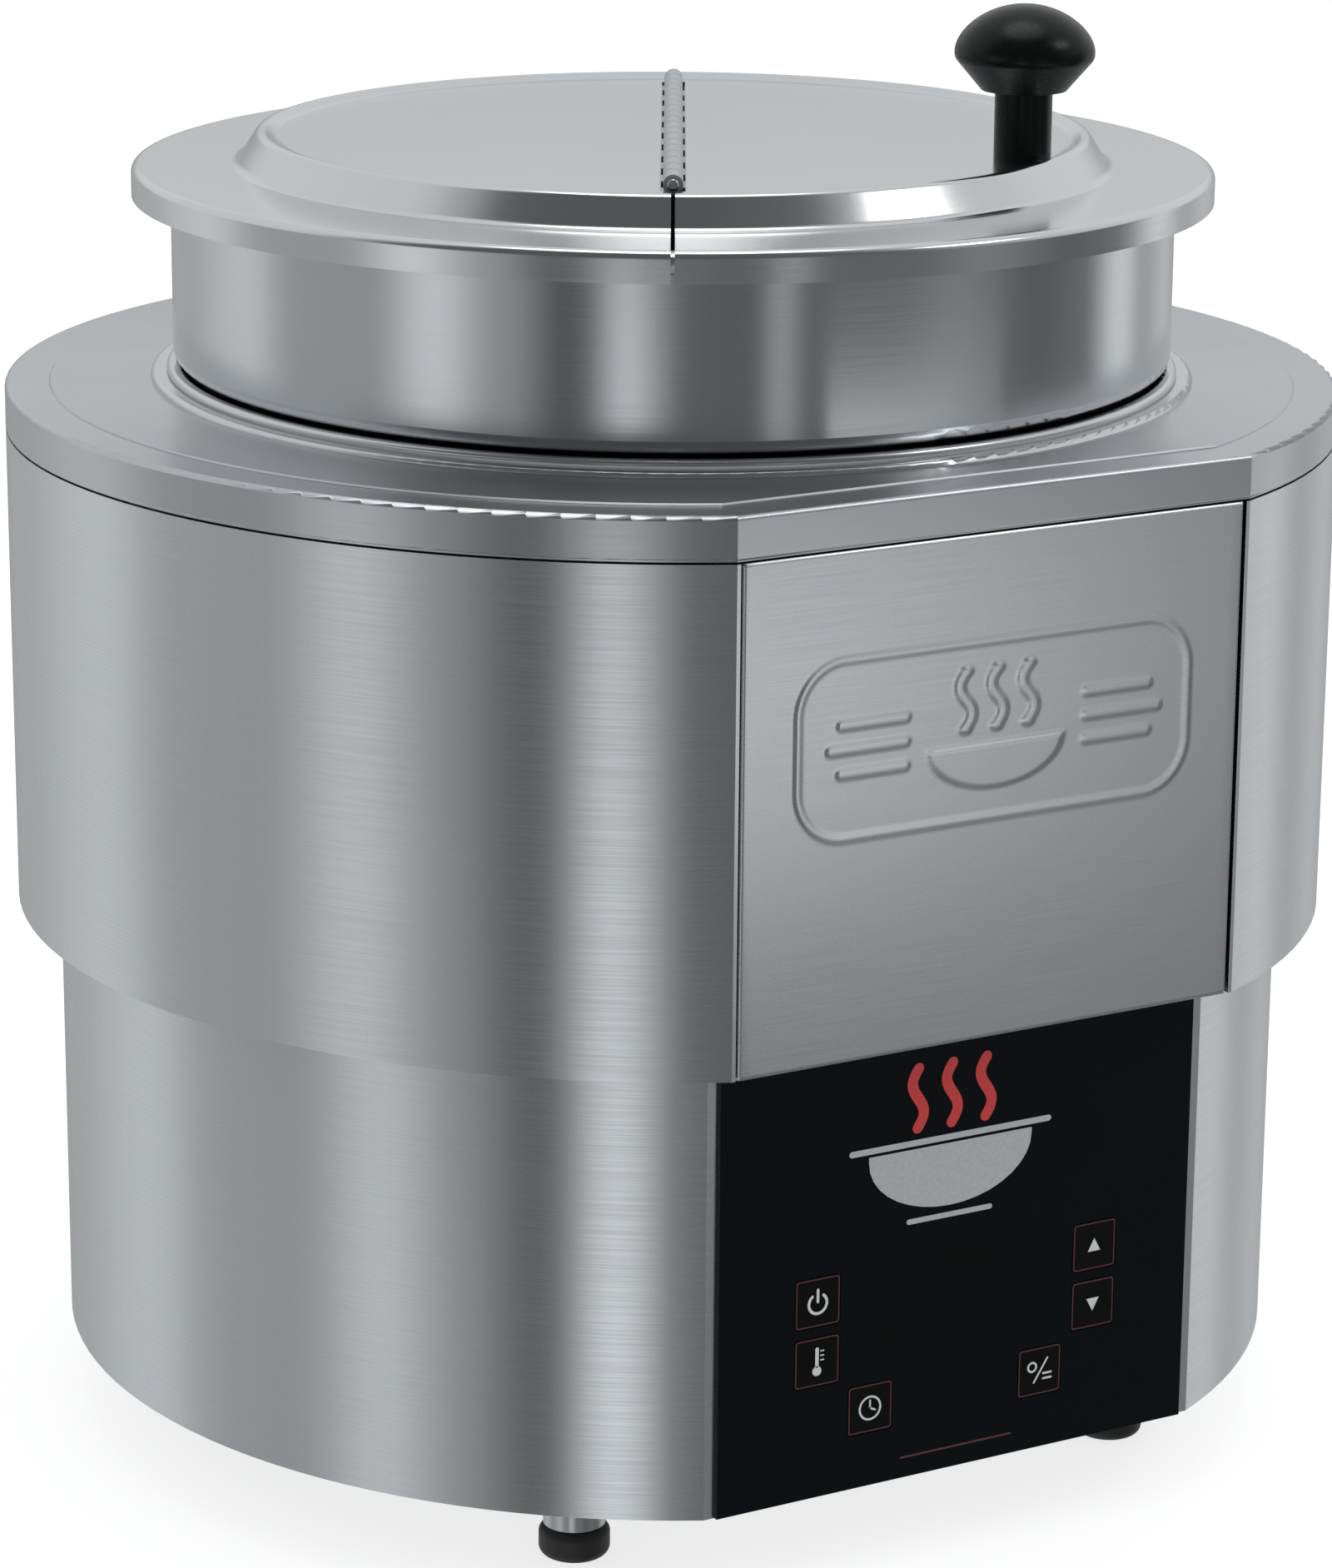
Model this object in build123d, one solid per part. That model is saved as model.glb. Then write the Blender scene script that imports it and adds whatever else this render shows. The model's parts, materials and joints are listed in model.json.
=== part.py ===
from build123d import *
import math
import os

# A countertop round heated well: two-tier stainless casing with a flat front, drawn well with heaters,
# round inset pan, two-part hinged lid with a knob, touch control panel with six keys, and four feet.
# Millimetres. +Z is up, the floor is Z = 0, and the flat front faces -Y.
# Every piece is drawn about the well's axis, then moved so that the origin is the middle of the
# object's box, on the floor.

# --- general --------------------------------------------------------------------------------------
SHEET = 1.0                      # casing sheet thickness
SEAM = 0.6                       # visible gap between neighbouring sheets
HOLE_CLEARANCE = 0.2             # radial, round every screw, stud and rivet that passes through a piece
OVERCUT = 1.0                    # a cutting solid runs past the piece it cuts by this

# --- casing ---------------------------------------------------------------------------------------
CASING_RADIUS = 175.0            # upper casing
CASING_FLAT = 159.0              # well axis to the upper flat front
LOWER_RADIUS = 163.8             # lower casing
LOWER_FLAT = 148.0               # well axis to the face of the control panel
CASING_TOP = 282.0
SKIRT_BOTTOM = 271.1             # lower edge of the top cover's skirt
UPPER_BOTTOM = 143.6             # lower edge of the upper casing
LOWER_BOTTOM = 25.5              # lower edge of the lower casing
COVER_STEP = 0.5                 # the cover's middle is raised by this
COVER_STEP_INSET = 11.5
COVER_STEP_BEVEL = 0.4
COVER_EDGE_BEND = 1.2
LOWER_WRAPPER_TOP = 152.0        # the lower wrapper runs up inside the upper casing
OVERLAY_THICKNESS = 1.2
LOWER_SHEET_FLAT = LOWER_FLAT - OVERLAY_THICKNESS
BASE_FLANGE = 12.0               # inward flange at the lower wrapper's bottom
BASE_THICKNESS = 1.2
BASE_FIT = 0.3                   # gap between the base plate and the lower wrapper
BASE_SLOTS = 7
BASE_SLOT_LENGTH = 60.0
BASE_SLOT_WIDTH = 4.0
BASE_SLOT_PITCH = 10.0
BASE_SCREW_ANGLES = (-25, 30, 90, 150, 205)
BASE_SCREW_CIRCLE = 157.0
BASE_SCREW_FRONT = ((-35.0, -140.5), (35.0, -140.5))
BASE_SCREW_RADIUS = 1.75
BASE_SCREW_REACH = 6.0           # above the flange's underside
SCREW_HEAD_RADIUS = 3.4
SCREW_HEAD_HEIGHT = 2.0
SCREW_HEAD_DOME = 1.2
SCREW_SLOT = (4.0, 0.9, 2.0)     # the cross recess: length, width, and twice its depth

# --- front panel ----------------------------------------------------------------------------------
RETURN_DEPTH = 12.0              # inward folds of the panel's and the upper wrapper's side edges
EMBOSS_WIDTH = 122.0
EMBOSS_HEIGHT = 48.0
EMBOSS_CENTRE_Z = 222.0
EMBOSS_CORNER = 10.0
EMBOSS_RISE = 0.8
EMBOSS_BEVEL = 0.64

# --- well, heaters and insulation (pan and lid heights further down are above the casing top) -----
WELL_INNER_RADIUS = 128.5
WELL_SHEET = 1.0
LIP_OUTER_RADIUS = 132.8
LIP_RISE = 4.2                   # lip's top above the casing top
WELL_BENDS = (8.0, 1.8, 1.3)     # at the floor, and two at the lip
COLLAR_RADIUS = 137.0            # the ring under the lip
COLLAR_THICKNESS = 1.7
COLLAR_ROUNDING = 1.4
PAN_SEAT_GAP = 0.3               # pan bottom above the well floor
GASKET_THICKNESS = 0.5
GASKET_INSET = 0.8
BAND_HEATER_THICKNESS = 2.5
BAND_HEATER_BOTTOM = 152.0
BAND_HEATER_TOP = 224.0
BAND_HEATER_GAP_ANGLE = 6.0      # half the gap between the band's two ends
BAND_EAR_THICKNESS = 2.0
BAND_EAR_HEIGHT = 16.0
BAND_EAR_TIP = 140.5             # from the well's axis
BAND_CLAMP_Y = 137.5
BAND_CLAMP_RADIUS = 1.6
BAND_CLAMP_HEAD = (2.9, 2.5)     # radius and height, of the screw's head and of its nut
BLANKET_INNER_RADIUS = 136.0
BLANKET_OUTER_RADIUS = 152.0
BLANKET_BOTTOM = 152.5
BLANKET_TOP = 262.0
BLANKET_GAP = 44.0               # at the back, round the band's ears
FLOOR_HEATER_RADIUS = 95.0
FLOOR_HEATER_THICKNESS = 5.0
FLOOR_HEATER_HOLE = 14.0
RETAINING_PLATE_RADIUS = 100.0
RETAINING_PLATE_THICKNESS = 1.5
RETAINING_STUD_CIRCLE = 60.0
RETAINING_STUD_ANGLES = (90, 210, 330)
RETAINING_STUD_RADIUS = 2.0
RETAINING_STUD_REACH = 6.0       # below the retaining plate
RETAINING_NUT_RADIUS = 4.2
RETAINING_NUT_HEIGHT = 3.0
THERMOSTAT_RADIUS = 8.0
THERMOSTAT_CUP = 8.0             # height of the metal cup
THERMOSTAT_BASE = (6.0, 2.0)     # radius and height of the moulded base under the cup
THERMOSTAT_BLADE = (0.8, 3.2, 7.0)
THERMOSTAT_BLADE_SPREAD = 3.0
PROBE_RADIUS = 2.4
PROBE_LENGTH = 40.0
PROBE_ROUNDING = 1.44
PROBE_DISTANCE = 110.0           # from the axis, outside the floor heater
PAD_RADIUS = 120.0
PAD_THICKNESS = 12.0
SHIELD_Z = 98.0
SHIELD_RADIUS = 150.0
SHIELD_FLAT = 128.0
SHIELD_POSTS = ((-95.0, 60.0), (95.0, 60.0), (-95.0, -60.0), (95.0, -60.0))
SHIELD_POST_RADIUS = 4.0
SHIELD_SCREW_RADIUS = 2.0

# --- inset pan (heights above the casing top) -----------------------------------------------------
PAN_SHEET = 1.0
PAN_BODY_RADIUS = 125.5          # outside, below the shoulder
PAN_BAND_RADIUS = 131.0          # outside, above the shoulder
PAN_BOTTOM = -150.0
PAN_SHOULDER_LOW = 2.0
PAN_SHOULDER_HIGH = 7.0
PAN_RIM_RADIUS = 137.0
PAN_RIM_TOP = 54.8
PAN_RIM_BOTTOM = 49.2
PAN_RIM_LIP = 133.4              # where the rolled rim's free edge ends
PAN_BENDS = (18.0, 4.0, 3.0, 2.5, 2.7, 2.7)  # at the bottom, two at the shoulder, three at the rim

# --- lid (heights above the casing top) -----------------------------------------------------------
LID_SHEET = 0.8
LID_RADIUS = 141.1
LID_SKIRT_BOTTOM = 48.2
LID_FLANGE_TOP = 56.0
LID_FOOT_RADIUS = 113.8
LID_CREST_TOP = 64.3
LID_CREST_OUTER = 108.3
LID_CREST_INNER = 106.3
LID_PLATEAU_TOP = 63.0
LID_PLATEAU_RADIUS = 103.8
LID_BENDS = (4.0, 1.6, 1.8, 2.5, 2.0)    # at the plateau, the crest's two sides, the foot and the edge
LID_SEAM = 1.0                   # gap between the two halves
HINGE_TURN = -29.8               # the flap's middle, in degrees from +X
HINGE_SLOT_HALF = 3.2            # half the width of the slot that the hinge barrel lies in
HINGE_SLOT_END = 1.0             # the slot runs past the barrel's end by this
HINGE_Z = 64.4
BARREL_RADIUS = 2.5
PIN_RADIUS = 1.5
PIN_CLEARANCE = 0.05
PIN_ROUNDING = 0.6
KNUCKLES = 19
KNUCKLE_PITCH = 10.0
KNUCKLE_GAP = 0.3
LEAF_THICKNESS = 0.6
LEAF_WIDTH = 14.0
NOTCH_HALF = 3.0                 # the leaf stops here beside the other leaf's knuckles

# --- knob (heights above the lid's plateau) -------------------------------------------------------
KNOB_ACROSS = 88.5               # from the hinge line
KNOB_ALONG = -39.0               # along the hinge line, towards the front
KNOB_STEM_RADIUS = 7.3
KNOB_STEM_HEIGHT = 17.4
KNOB_NECK_RADIUS = 10.8
KNOB_HEAD_RADIUS = 17.75
KNOB_WIDEST = 27.0               # height of the widest ring
KNOB_BAND = 1.5                  # upright band below the widest ring
KNOB_EDGE_ROUNDING = 3.0         # where the band turns into the cone
KNOB_CROWN_PULLS = (0.42, 0.58)  # share of each half-axis before the crown starts to bend
KNOB_HEIGHT = 39.0
KNOB_INSERT_RADIUS = 4.0
KNOB_INSERT_LENGTH = 12.0
KNOB_SCREW_RADIUS = 2.5
KNOB_WASHER_RADIUS = 7.0
KNOB_WASHER_THICKNESS = 1.0
KNOB_SCREW_HEAD = (4.6, 2.6)     # radius and height
KNOB_SCREW_DOME = 1.4
KNOB_SCREW_SHORT = 1.0           # the screw ends this far below the insert's top

# --- controls -------------------------------------------------------------------------------------
OVERLAY_HALF_WIDTH = 69.6
OVERLAY_TOP = 142.6
KEY_SIZE = 13.0
KEY_CORNER = 0.8
KEY_CLEARANCE = 0.2
KEY_THICKNESS = 0.7
KEY_POST_RADIUS = 2.0
KEY_POST_LENGTH = 4.2
KEY_POST_HOLE = 3.0
KEYS = {                         # centre of each key across and up the panel
    "key_power": (-41.2, 77.6),
    "key_temperature": (-41.2, 61.8),
    "key_timer": (-25.4, 46.4),
    "key_mode": (25.4, 46.4),
    "key_up": (41.2, 77.6),
    "key_down": (41.2, 61.8),
}
DISPLAY_CENTRE_Z = 74.0
DISPLAY_WIDTH = 52.0
DISPLAY_HEIGHT = 24.0
DISPLAY_CORNER = 1.5
WRAPPER_WINDOW_LAP = 1.0         # the sheet's window is smaller than the display window by this all round
MODULE_LAP = 3.0                 # the module is smaller than the display window by this all round
MODULE_DEPTH = 6.0
BOARD_FACE = 139.0               # well axis to the board's outer face
BOARD_THICKNESS = 1.6
BOARD_HALF_WIDTH = 54.0
BOARD_BOTTOM = 33.0
BOARD_TOP = 100.0
BOARD_CORNER = 3.0
SWITCH_SIZE = 6.0
SWITCH_BODY = 2.5                # height of the switch's case
SWITCH_BUTTON = (1.5, 1.0)       # radius and height of its button
STANDOFF_RADIUS = 3.0
STANDOFFS = ((-49.0, 38.0), (49.0, 38.0), (-49.0, 95.0), (49.0, 95.0))
STANDOFF_WALL = 1.0              # blind end that the screw's hole leaves
BOARD_SCREW_RADIUS = 1.4
BOARD_SCREW_HEAD = (2.66, 1.8)   # radius and height
BOARD_SCREW_REACH = 5.0          # beyond the board's outer face

# --- parts on the base plate ----------------------------------------------------------------------
RELAY_CORNER = (-62.0, 50.0)
RELAY_SIZE = (42.0, 45.0, 22.0)
RELAY_BEND = 2.0
RELAY_FOOT_THICKNESS = 2.0
RELAY_FOOT_MARGIN = (3.0, 2.0)
RELAY_SCREW = (3.5, 3.0)         # radius and height of a terminal screw
RELAY_SCREW_INSET = (9.0, 7.0)
TERMINAL_CORNER = (20.0, 92.0)
TERMINAL_SIZE = (42.0, 18.0, 9.0)
CLAMP_COUNT = 3
CLAMP_SIZE = (11.0, 14.0, 7.0)
CLAMP_PITCH = 13.5
CLAMP_INSET = 2.0
CLAMP_HOLE_RADIUS = 2.5
CLAMP_HOLE_DEPTH = 6.0

# --- feet and rear --------------------------------------------------------------------------------
FOOT_CIRCLE = 128.0
FOOT_ANGLE = 40.0                # from the front-to-back line
FOOT_COLLAR_RADIUS = 8.0
FOOT_TIP_RADIUS = 9.15
FOOT_TIP_HEIGHT = 8.2
FOOT_TIP_UPPER_ROUNDING = 2.2
FOOT_TIP_LOWER_ROUNDING = 2.6
FOOT_COLLAR_BEVEL = 0.5
FOOT_STUD_RADIUS = 3.0
FOOT_STUD_REACH = 8.0            # above the base plate
FOOT_NUT_RADIUS = 5.8
FOOT_NUT_HEIGHT = 5.0
GLAND_Z = 62.0
GLAND_BORE_RADIUS = 4.5
GLAND_BODY_RADIUS = 8.0
GLAND_NUT_RADIUS = 11.0          # to the corners
GLAND_NUT_THICKNESS = 5.0
GLAND_NOSE_LENGTH = 3.5
GLAND_NOSE_WALL = 1.5
GLAND_THREAD = 14.0              # length of the threaded body inside the wall
GLAND_NUT_FIT = 0.05             # radial, between the locknut and the body
RIVET_TURN = 32.0                # the lower wrapper's rear seam, in degrees from the gland
RIVET_HEIGHTS = (40.0, 84.0, 128.0)
RIVET_SHANK_RADIUS = 1.2
RIVET_HOLE_RADIUS = RIVET_SHANK_RADIUS + HOLE_CLEARANCE
RIVET_HEAD_RADIUS = 2.6
RIVET_HEAD_HEIGHT = 1.2
RIVET_DOME = 0.96
RIVET_TAIL = 1.5                 # of the shank, inside the wall
REAR_CUT = 20.0                  # a cut through the rear wall starts this far inside it

# The box runs from the raised motif in front to the casing's back, so its middle is behind the axis.
FRONTMOST = CASING_FLAT + EMBOSS_RISE
WELL_Y = (FRONTMOST - CASING_RADIUS) / 2


# --- helpers --------------------------------------------------------------------------------------
def cylinder(radius, bottom, top, x=0.0, y=0.0):
    """An upright cylinder between two heights."""
    return Pos(x, y, bottom) * Cylinder(radius, top - bottom, align=(Align.CENTER, Align.CENTER, Align.MIN))


def hole(radius, bottom, top, x=0.0, y=0.0):
    """A cutting cylinder, which runs past both heights."""
    return cylinder(radius, bottom - OVERCUT, top + OVERCUT, x, y)


def tube(outer, inner, bottom, top, x=0.0, y=0.0):
    """An upright tube between two heights."""
    return cylinder(outer, bottom, top, x, y) - hole(inner, bottom, top, x, y)


def hexagon(radius, bottom, top, x=0.0, y=0.0):
    """An upright hexagonal nut or head, radius to its corners."""
    return Pos(x, y, bottom) * extrude(RegularPolygon(radius, 6), top - bottom)


def block(low, high):
    """A box between two corners."""
    size = [high[i] - low[i] for i in range(3)]
    middle = [(high[i] + low[i]) / 2 for i in range(3)]
    return Pos(*middle) * Box(*size)


def span(side, near, far):
    """Low and high X of a stretch that lies on one side of the middle, -1 or +1."""
    return sorted((side * near, side * far))


def d_plate(radius, flat, bottom, top):
    """A round plate whose front is cut off straight."""
    outline = Circle(radius) - Pos(0, -flat - radius) * Rectangle(2 * radius, 2 * radius)
    return Pos(0, 0, bottom) * extrude(outline, top - bottom)


def d_hole(radius, flat, bottom, top):
    """A cutting plate of the same outline, which runs past both heights."""
    return d_plate(radius, flat, bottom - OVERCUT, top + OVERCUT)


def d_shell(radius, flat, bottom, top):
    """A round casing wall with a flat front."""
    return d_plate(radius, flat, bottom, top) - d_hole(radius - SHEET, flat - SHEET, bottom, top)


def half_width(radius, flat):
    """Half the width of a flat cut into a circle."""
    return math.sqrt(radius ** 2 - flat ** 2)


def on_circle(radius, angle):
    """X and Y of a point on a circle about the well's axis."""
    return radius * math.cos(math.radians(angle)), radius * math.sin(math.radians(angle))


def turned_sheet(points, radii, thickness):
    """Sheet metal turned about Z: the inner skin follows the rounded points, the other lies outside it."""
    skin = FilletPolyline(*points, radius=radii)
    section = make_face(skin.wire().offset_2d(thickness, side=Side.RIGHT, closed=True).edges())
    return revolve(Plane.XZ * section, Axis.Z)


def front_plane(distance):
    """Drawing plane parallel to the flat front: local x is +X and local y is the height."""
    return Plane(origin=(0, -distance, 0), x_dir=(1, 0, 0), z_dir=(0, -1, 0))


def front_plate(width, height, x, z, back, front, corner=0.0):
    """A plate parallel to the flat front, between two distances from the well's axis."""
    outline = RectangleRounded(width, height, corner) if corner else Rectangle(width, height)
    return extrude(front_plane(back) * (Pos(x, z) * outline), front - back)


def front_window(width, height, x, z, back, front, corner=0.0):
    """A cutting plate parallel to the flat front, which runs past both distances."""
    return front_plate(width, height, x, z, back - OVERCUT, front + OVERCUT, corner)


def front_rod(radius, x, z, back, front):
    """A rod square to the flat front, between two distances from the well's axis."""
    return extrude(front_plane(back) * (Pos(x, z) * Circle(radius)), front - back)


def front_hole(radius, x, z, back, front):
    """A cutting rod square to the flat front, which runs past both distances."""
    return front_rod(radius, x, z, back - OVERCUT, front + OVERCUT)


def pointing_back(solid, y, z):
    """Stands an upright solid at the rear with its top pointing straight back."""
    return Pos(0, y, z) * Rot(-90, 0, 0) * solid


def rear_rod(radius, z, back, front):
    """A rod that points straight back, between two distances from the well's axis."""
    return pointing_back(cylinder(radius, 0, front - back), back, z)


def rear_hole(radius, z):
    """A cutting rod through the lower casing's rear wall."""
    return rear_rod(radius, z, LOWER_RADIUS - REAR_CUT, LOWER_RADIUS + REAR_CUT)


def joined(pieces):
    """Separate solids of one node."""
    return Compound(children=[solid for piece in pieces for solid in piece.solids()])


def lid_frame(solid):
    """From the lid's own frame, with the hinge along Y and the flap at +X, to the well's frame."""
    return Rot(0, 0, HINGE_TURN) * solid


# --- casing ---------------------------------------------------------------------------------------
def make_top_cover():
    """Shallow cap with a turned-down skirt, a low raised middle, and the hole that the well hangs in."""
    cover = d_plate(CASING_RADIUS, CASING_FLAT, SKIRT_BOTTOM, CASING_TOP)
    cover = fillet(cover.faces().sort_by(Axis.Z)[-1].edges(), COVER_EDGE_BEND)
    cover -= d_plate(CASING_RADIUS - SHEET, CASING_FLAT - SHEET, SKIRT_BOTTOM - OVERCUT, CASING_TOP - SHEET)
    step = d_plate(CASING_RADIUS - COVER_STEP_INSET, CASING_FLAT - COVER_STEP_INSET,
                   CASING_TOP - SHEET, CASING_TOP + COVER_STEP)
    step = chamfer(step.faces().sort_by(Axis.Z)[-1].edges(), COVER_STEP_BEVEL)
    return cover + step - hole(WELL_INNER_RADIUS + WELL_SHEET, SKIRT_BOTTOM, CASING_TOP + COVER_STEP)


def make_upper_wrapper():
    """Round wall, open in front where the panel goes, with a fold beside each edge of the panel."""
    top = SKIRT_BOTTOM - SEAM
    edge = half_width(CASING_RADIUS, CASING_FLAT)
    outside = d_plate(CASING_RADIUS, CASING_FLAT, UPPER_BOTTOM, top)
    wall = d_shell(CASING_RADIUS, CASING_FLAT, UPPER_BOTTOM, top)
    wall -= block((-edge, -CASING_FLAT - OVERCUT, UPPER_BOTTOM - OVERCUT),
                  (edge, -CASING_FLAT + SHEET, top + OVERCUT))
    for side in (-1, 1):
        low, high = span(side, edge - SHEET, edge)
        fold = block((low, -CASING_FLAT, UPPER_BOTTOM), (high, -CASING_FLAT + RETURN_DEPTH, top))
        wall += outside & fold
    return wall


def make_front_panel():
    """Flat panel with folded side edges and a raised badge area."""
    edge = half_width(CASING_RADIUS, CASING_FLAT) - SHEET - SEAM
    top = SKIRT_BOTTOM - SEAM
    height = top - UPPER_BOTTOM
    middle = (top + UPPER_BOTTOM) / 2
    back = CASING_FLAT - RETURN_DEPTH
    panel = front_plate(2 * edge, height, 0, middle, back, CASING_FLAT)
    panel = fillet(panel.faces().sort_by(Axis.Y)[0].edges().filter_by(Axis.Z), SHEET)
    inside = 2 * (edge - SHEET)
    panel -= front_plate(inside, height + 2 * OVERCUT, 0, middle, back - OVERCUT, CASING_FLAT - SHEET)
    raised = front_plate(EMBOSS_WIDTH, EMBOSS_HEIGHT, 0, EMBOSS_CENTRE_Z,
                         CASING_FLAT - SHEET / 2, CASING_FLAT + EMBOSS_RISE, EMBOSS_CORNER)
    raised = chamfer(raised.faces().sort_by(Axis.Y)[0].edges(), EMBOSS_BEVEL)
    return panel + raised


def make_step_ring():
    """Closes the underside of the upper casing's overhang, clear of the folds at the panel's sides."""
    top = UPPER_BOTTOM + SHEET
    ring = d_plate(CASING_RADIUS - SHEET, CASING_FLAT - SHEET, UPPER_BOTTOM, top)
    ring -= d_hole(LOWER_RADIUS, LOWER_SHEET_FLAT, UPPER_BOTTOM, top)
    edge = half_width(CASING_RADIUS, CASING_FLAT)
    for side in (-1, 1):
        low, high = span(side, edge - 2 * SHEET - SEAM, edge)
        ring -= block((low, -CASING_FLAT, UPPER_BOTTOM - OVERCUT),
                      (high, -CASING_FLAT + RETURN_DEPTH, top + OVERCUT))
    return ring


def base_screw_centres():
    return [on_circle(BASE_SCREW_CIRCLE, angle) for angle in BASE_SCREW_ANGLES] + list(BASE_SCREW_FRONT)


def make_lower_wrapper():
    """Round wall with a flat front, an inward flange at the bottom, and holes for all that passes it."""
    flat = LOWER_SHEET_FLAT
    flange_top = LOWER_BOTTOM + SHEET
    wall = d_shell(LOWER_RADIUS, flat, LOWER_BOTTOM, LOWER_WRAPPER_TOP)
    flange = d_plate(LOWER_RADIUS - SHEET / 2, flat - SHEET / 2, LOWER_BOTTOM, flange_top)
    wall += flange - d_hole(LOWER_RADIUS - BASE_FLANGE, flat - BASE_FLANGE, LOWER_BOTTOM, flange_top)
    for x, z in KEYS.values():
        wall -= front_hole(KEY_POST_HOLE, x, z, flat - SHEET, flat)
    wall -= front_window(DISPLAY_WIDTH - 2 * WRAPPER_WINDOW_LAP, DISPLAY_HEIGHT - 2 * WRAPPER_WINDOW_LAP,
                         0, DISPLAY_CENTRE_Z, flat - SHEET, flat)
    wall -= rear_hole(GLAND_BODY_RADIUS + HOLE_CLEARANCE, GLAND_Z)
    for height in RIVET_HEIGHTS:
        wall -= Rot(0, 0, RIVET_TURN) * rear_hole(RIVET_HOLE_RADIUS, height)
    for x, y in base_screw_centres():
        wall -= hole(BASE_SCREW_RADIUS + HOLE_CLEARANCE, LOWER_BOTTOM, flange_top, x, y)
    return wall


def make_base_plate():
    """Bottom plate with cooling slots, on top of the lower wrapper's flange."""
    bottom = LOWER_BOTTOM + SHEET
    top = bottom + BASE_THICKNESS
    gap = SHEET + BASE_FIT
    plate = d_plate(LOWER_RADIUS - gap, LOWER_SHEET_FLAT - gap, bottom, top)
    for i in range(BASE_SLOTS):
        x = (i - (BASE_SLOTS - 1) / 2) * BASE_SLOT_PITCH
        slot = SlotOverall(BASE_SLOT_LENGTH, BASE_SLOT_WIDTH, rotation=90)
        plate -= Pos(x, 0, bottom) * extrude(slot, BASE_THICKNESS)
    drilled = [(BASE_SCREW_RADIUS, base_screw_centres()),
               (FOOT_STUD_RADIUS, foot_centres()),
               (SHIELD_SCREW_RADIUS, SHIELD_POSTS)]
    for radius, centres in drilled:
        for x, y in centres:
            plate -= hole(radius + HOLE_CLEARANCE, bottom, top, x, y)
    return plate


def make_base_screws():
    """Domed cross-recess screws, driven up through the wrapper's flange and the base plate."""
    bottom = LOWER_BOTTOM - SCREW_HEAD_HEIGHT
    screws = []
    for x, y in base_screw_centres():
        head = cylinder(SCREW_HEAD_RADIUS, bottom, LOWER_BOTTOM, x, y)
        head = fillet(head.faces().sort_by(Axis.Z)[0].edges(), SCREW_HEAD_DOME)
        for turn in (0, 90):
            head -= Pos(x, y, bottom) * Rot(0, 0, turn) * Box(*SCREW_SLOT)
        shank = cylinder(BASE_SCREW_RADIUS, LOWER_BOTTOM - SCREW_HEAD_HEIGHT / 2,
                         LOWER_BOTTOM + BASE_SCREW_REACH, x, y)
        screws.append(head + shank)
    return joined(screws)


# --- feet -----------------------------------------------------------------------------------------
def foot_centres():
    return [on_circle(FOOT_CIRCLE, middle + side * FOOT_ANGLE) for middle in (-90, 90) for side in (-1, 1)]


def make_foot_collars():
    bottom = FOOT_TIP_HEIGHT
    top = LOWER_BOTTOM + SHEET
    collars = []
    for x, y in foot_centres():
        collar = tube(FOOT_COLLAR_RADIUS, FOOT_STUD_RADIUS + HOLE_CLEARANCE, bottom, top, x, y)
        rim = collar.faces().sort_by(Axis.Z)[0].outer_wire().edges()
        collars.append(chamfer(rim, FOOT_COLLAR_BEVEL))
    return joined(collars)


def make_foot_tips():
    tips = []
    for x, y in foot_centres():
        tip = cylinder(FOOT_TIP_RADIUS, 0, FOOT_TIP_HEIGHT, x, y)
        tip = fillet(tip.faces().sort_by(Axis.Z)[-1].edges(), FOOT_TIP_UPPER_ROUNDING)
        tip = fillet(tip.faces().sort_by(Axis.Z)[0].edges(), FOOT_TIP_LOWER_ROUNDING)
        socket = cylinder(FOOT_STUD_RADIUS + HOLE_CLEARANCE, FOOT_TIP_HEIGHT / 2,
                          FOOT_TIP_HEIGHT + OVERCUT, x, y)
        tips.append(tip - socket)
    return joined(tips)


def make_foot_studs():
    """A stud from each rubber tip up through its collar and the base plate, with a nut on top."""
    plate_top = LOWER_BOTTOM + SHEET + BASE_THICKNESS
    studs = []
    for x, y in foot_centres():
        stud = cylinder(FOOT_STUD_RADIUS, FOOT_TIP_HEIGHT / 2, plate_top + FOOT_STUD_REACH, x, y)
        studs.append(stud + hexagon(FOOT_NUT_RADIUS, plate_top, plate_top + FOOT_NUT_HEIGHT, x, y))
    return joined(studs)


# --- well, heaters and insulation -----------------------------------------------------------------
WELL_FLOOR_TOP = CASING_TOP + PAN_BOTTOM - PAN_SEAT_GAP
WELL_FLOOR_BOTTOM = WELL_FLOOR_TOP - WELL_SHEET
HEATER_BOTTOM = WELL_FLOOR_BOTTOM - FLOOR_HEATER_THICKNESS
RETAINING_PLATE_BOTTOM = HEATER_BOTTOM - RETAINING_PLATE_THICKNESS
BAND_HEATER_MIDDLE = (BAND_HEATER_BOTTOM + BAND_HEATER_TOP) / 2
COLLAR_BOTTOM = CASING_TOP + COVER_STEP
COLLAR_TOP = COLLAR_BOTTOM + COLLAR_THICKNESS
BAND_HALF_GAP = (WELL_INNER_RADIUS + WELL_SHEET) * math.tan(math.radians(BAND_HEATER_GAP_ANGLE))


def make_heated_well():
    """Drawn liner with a rounded lip that stands on the collar and turns down outside."""
    points = [
        (0, WELL_FLOOR_TOP),
        (WELL_INNER_RADIUS, WELL_FLOOR_TOP),
        (WELL_INNER_RADIUS, CASING_TOP + LIP_RISE),
        (LIP_OUTER_RADIUS, CASING_TOP + LIP_RISE),
        (LIP_OUTER_RADIUS, COLLAR_TOP + GASKET_THICKNESS),
    ]
    return turned_sheet(points, WELL_BENDS, WELL_SHEET)


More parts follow.
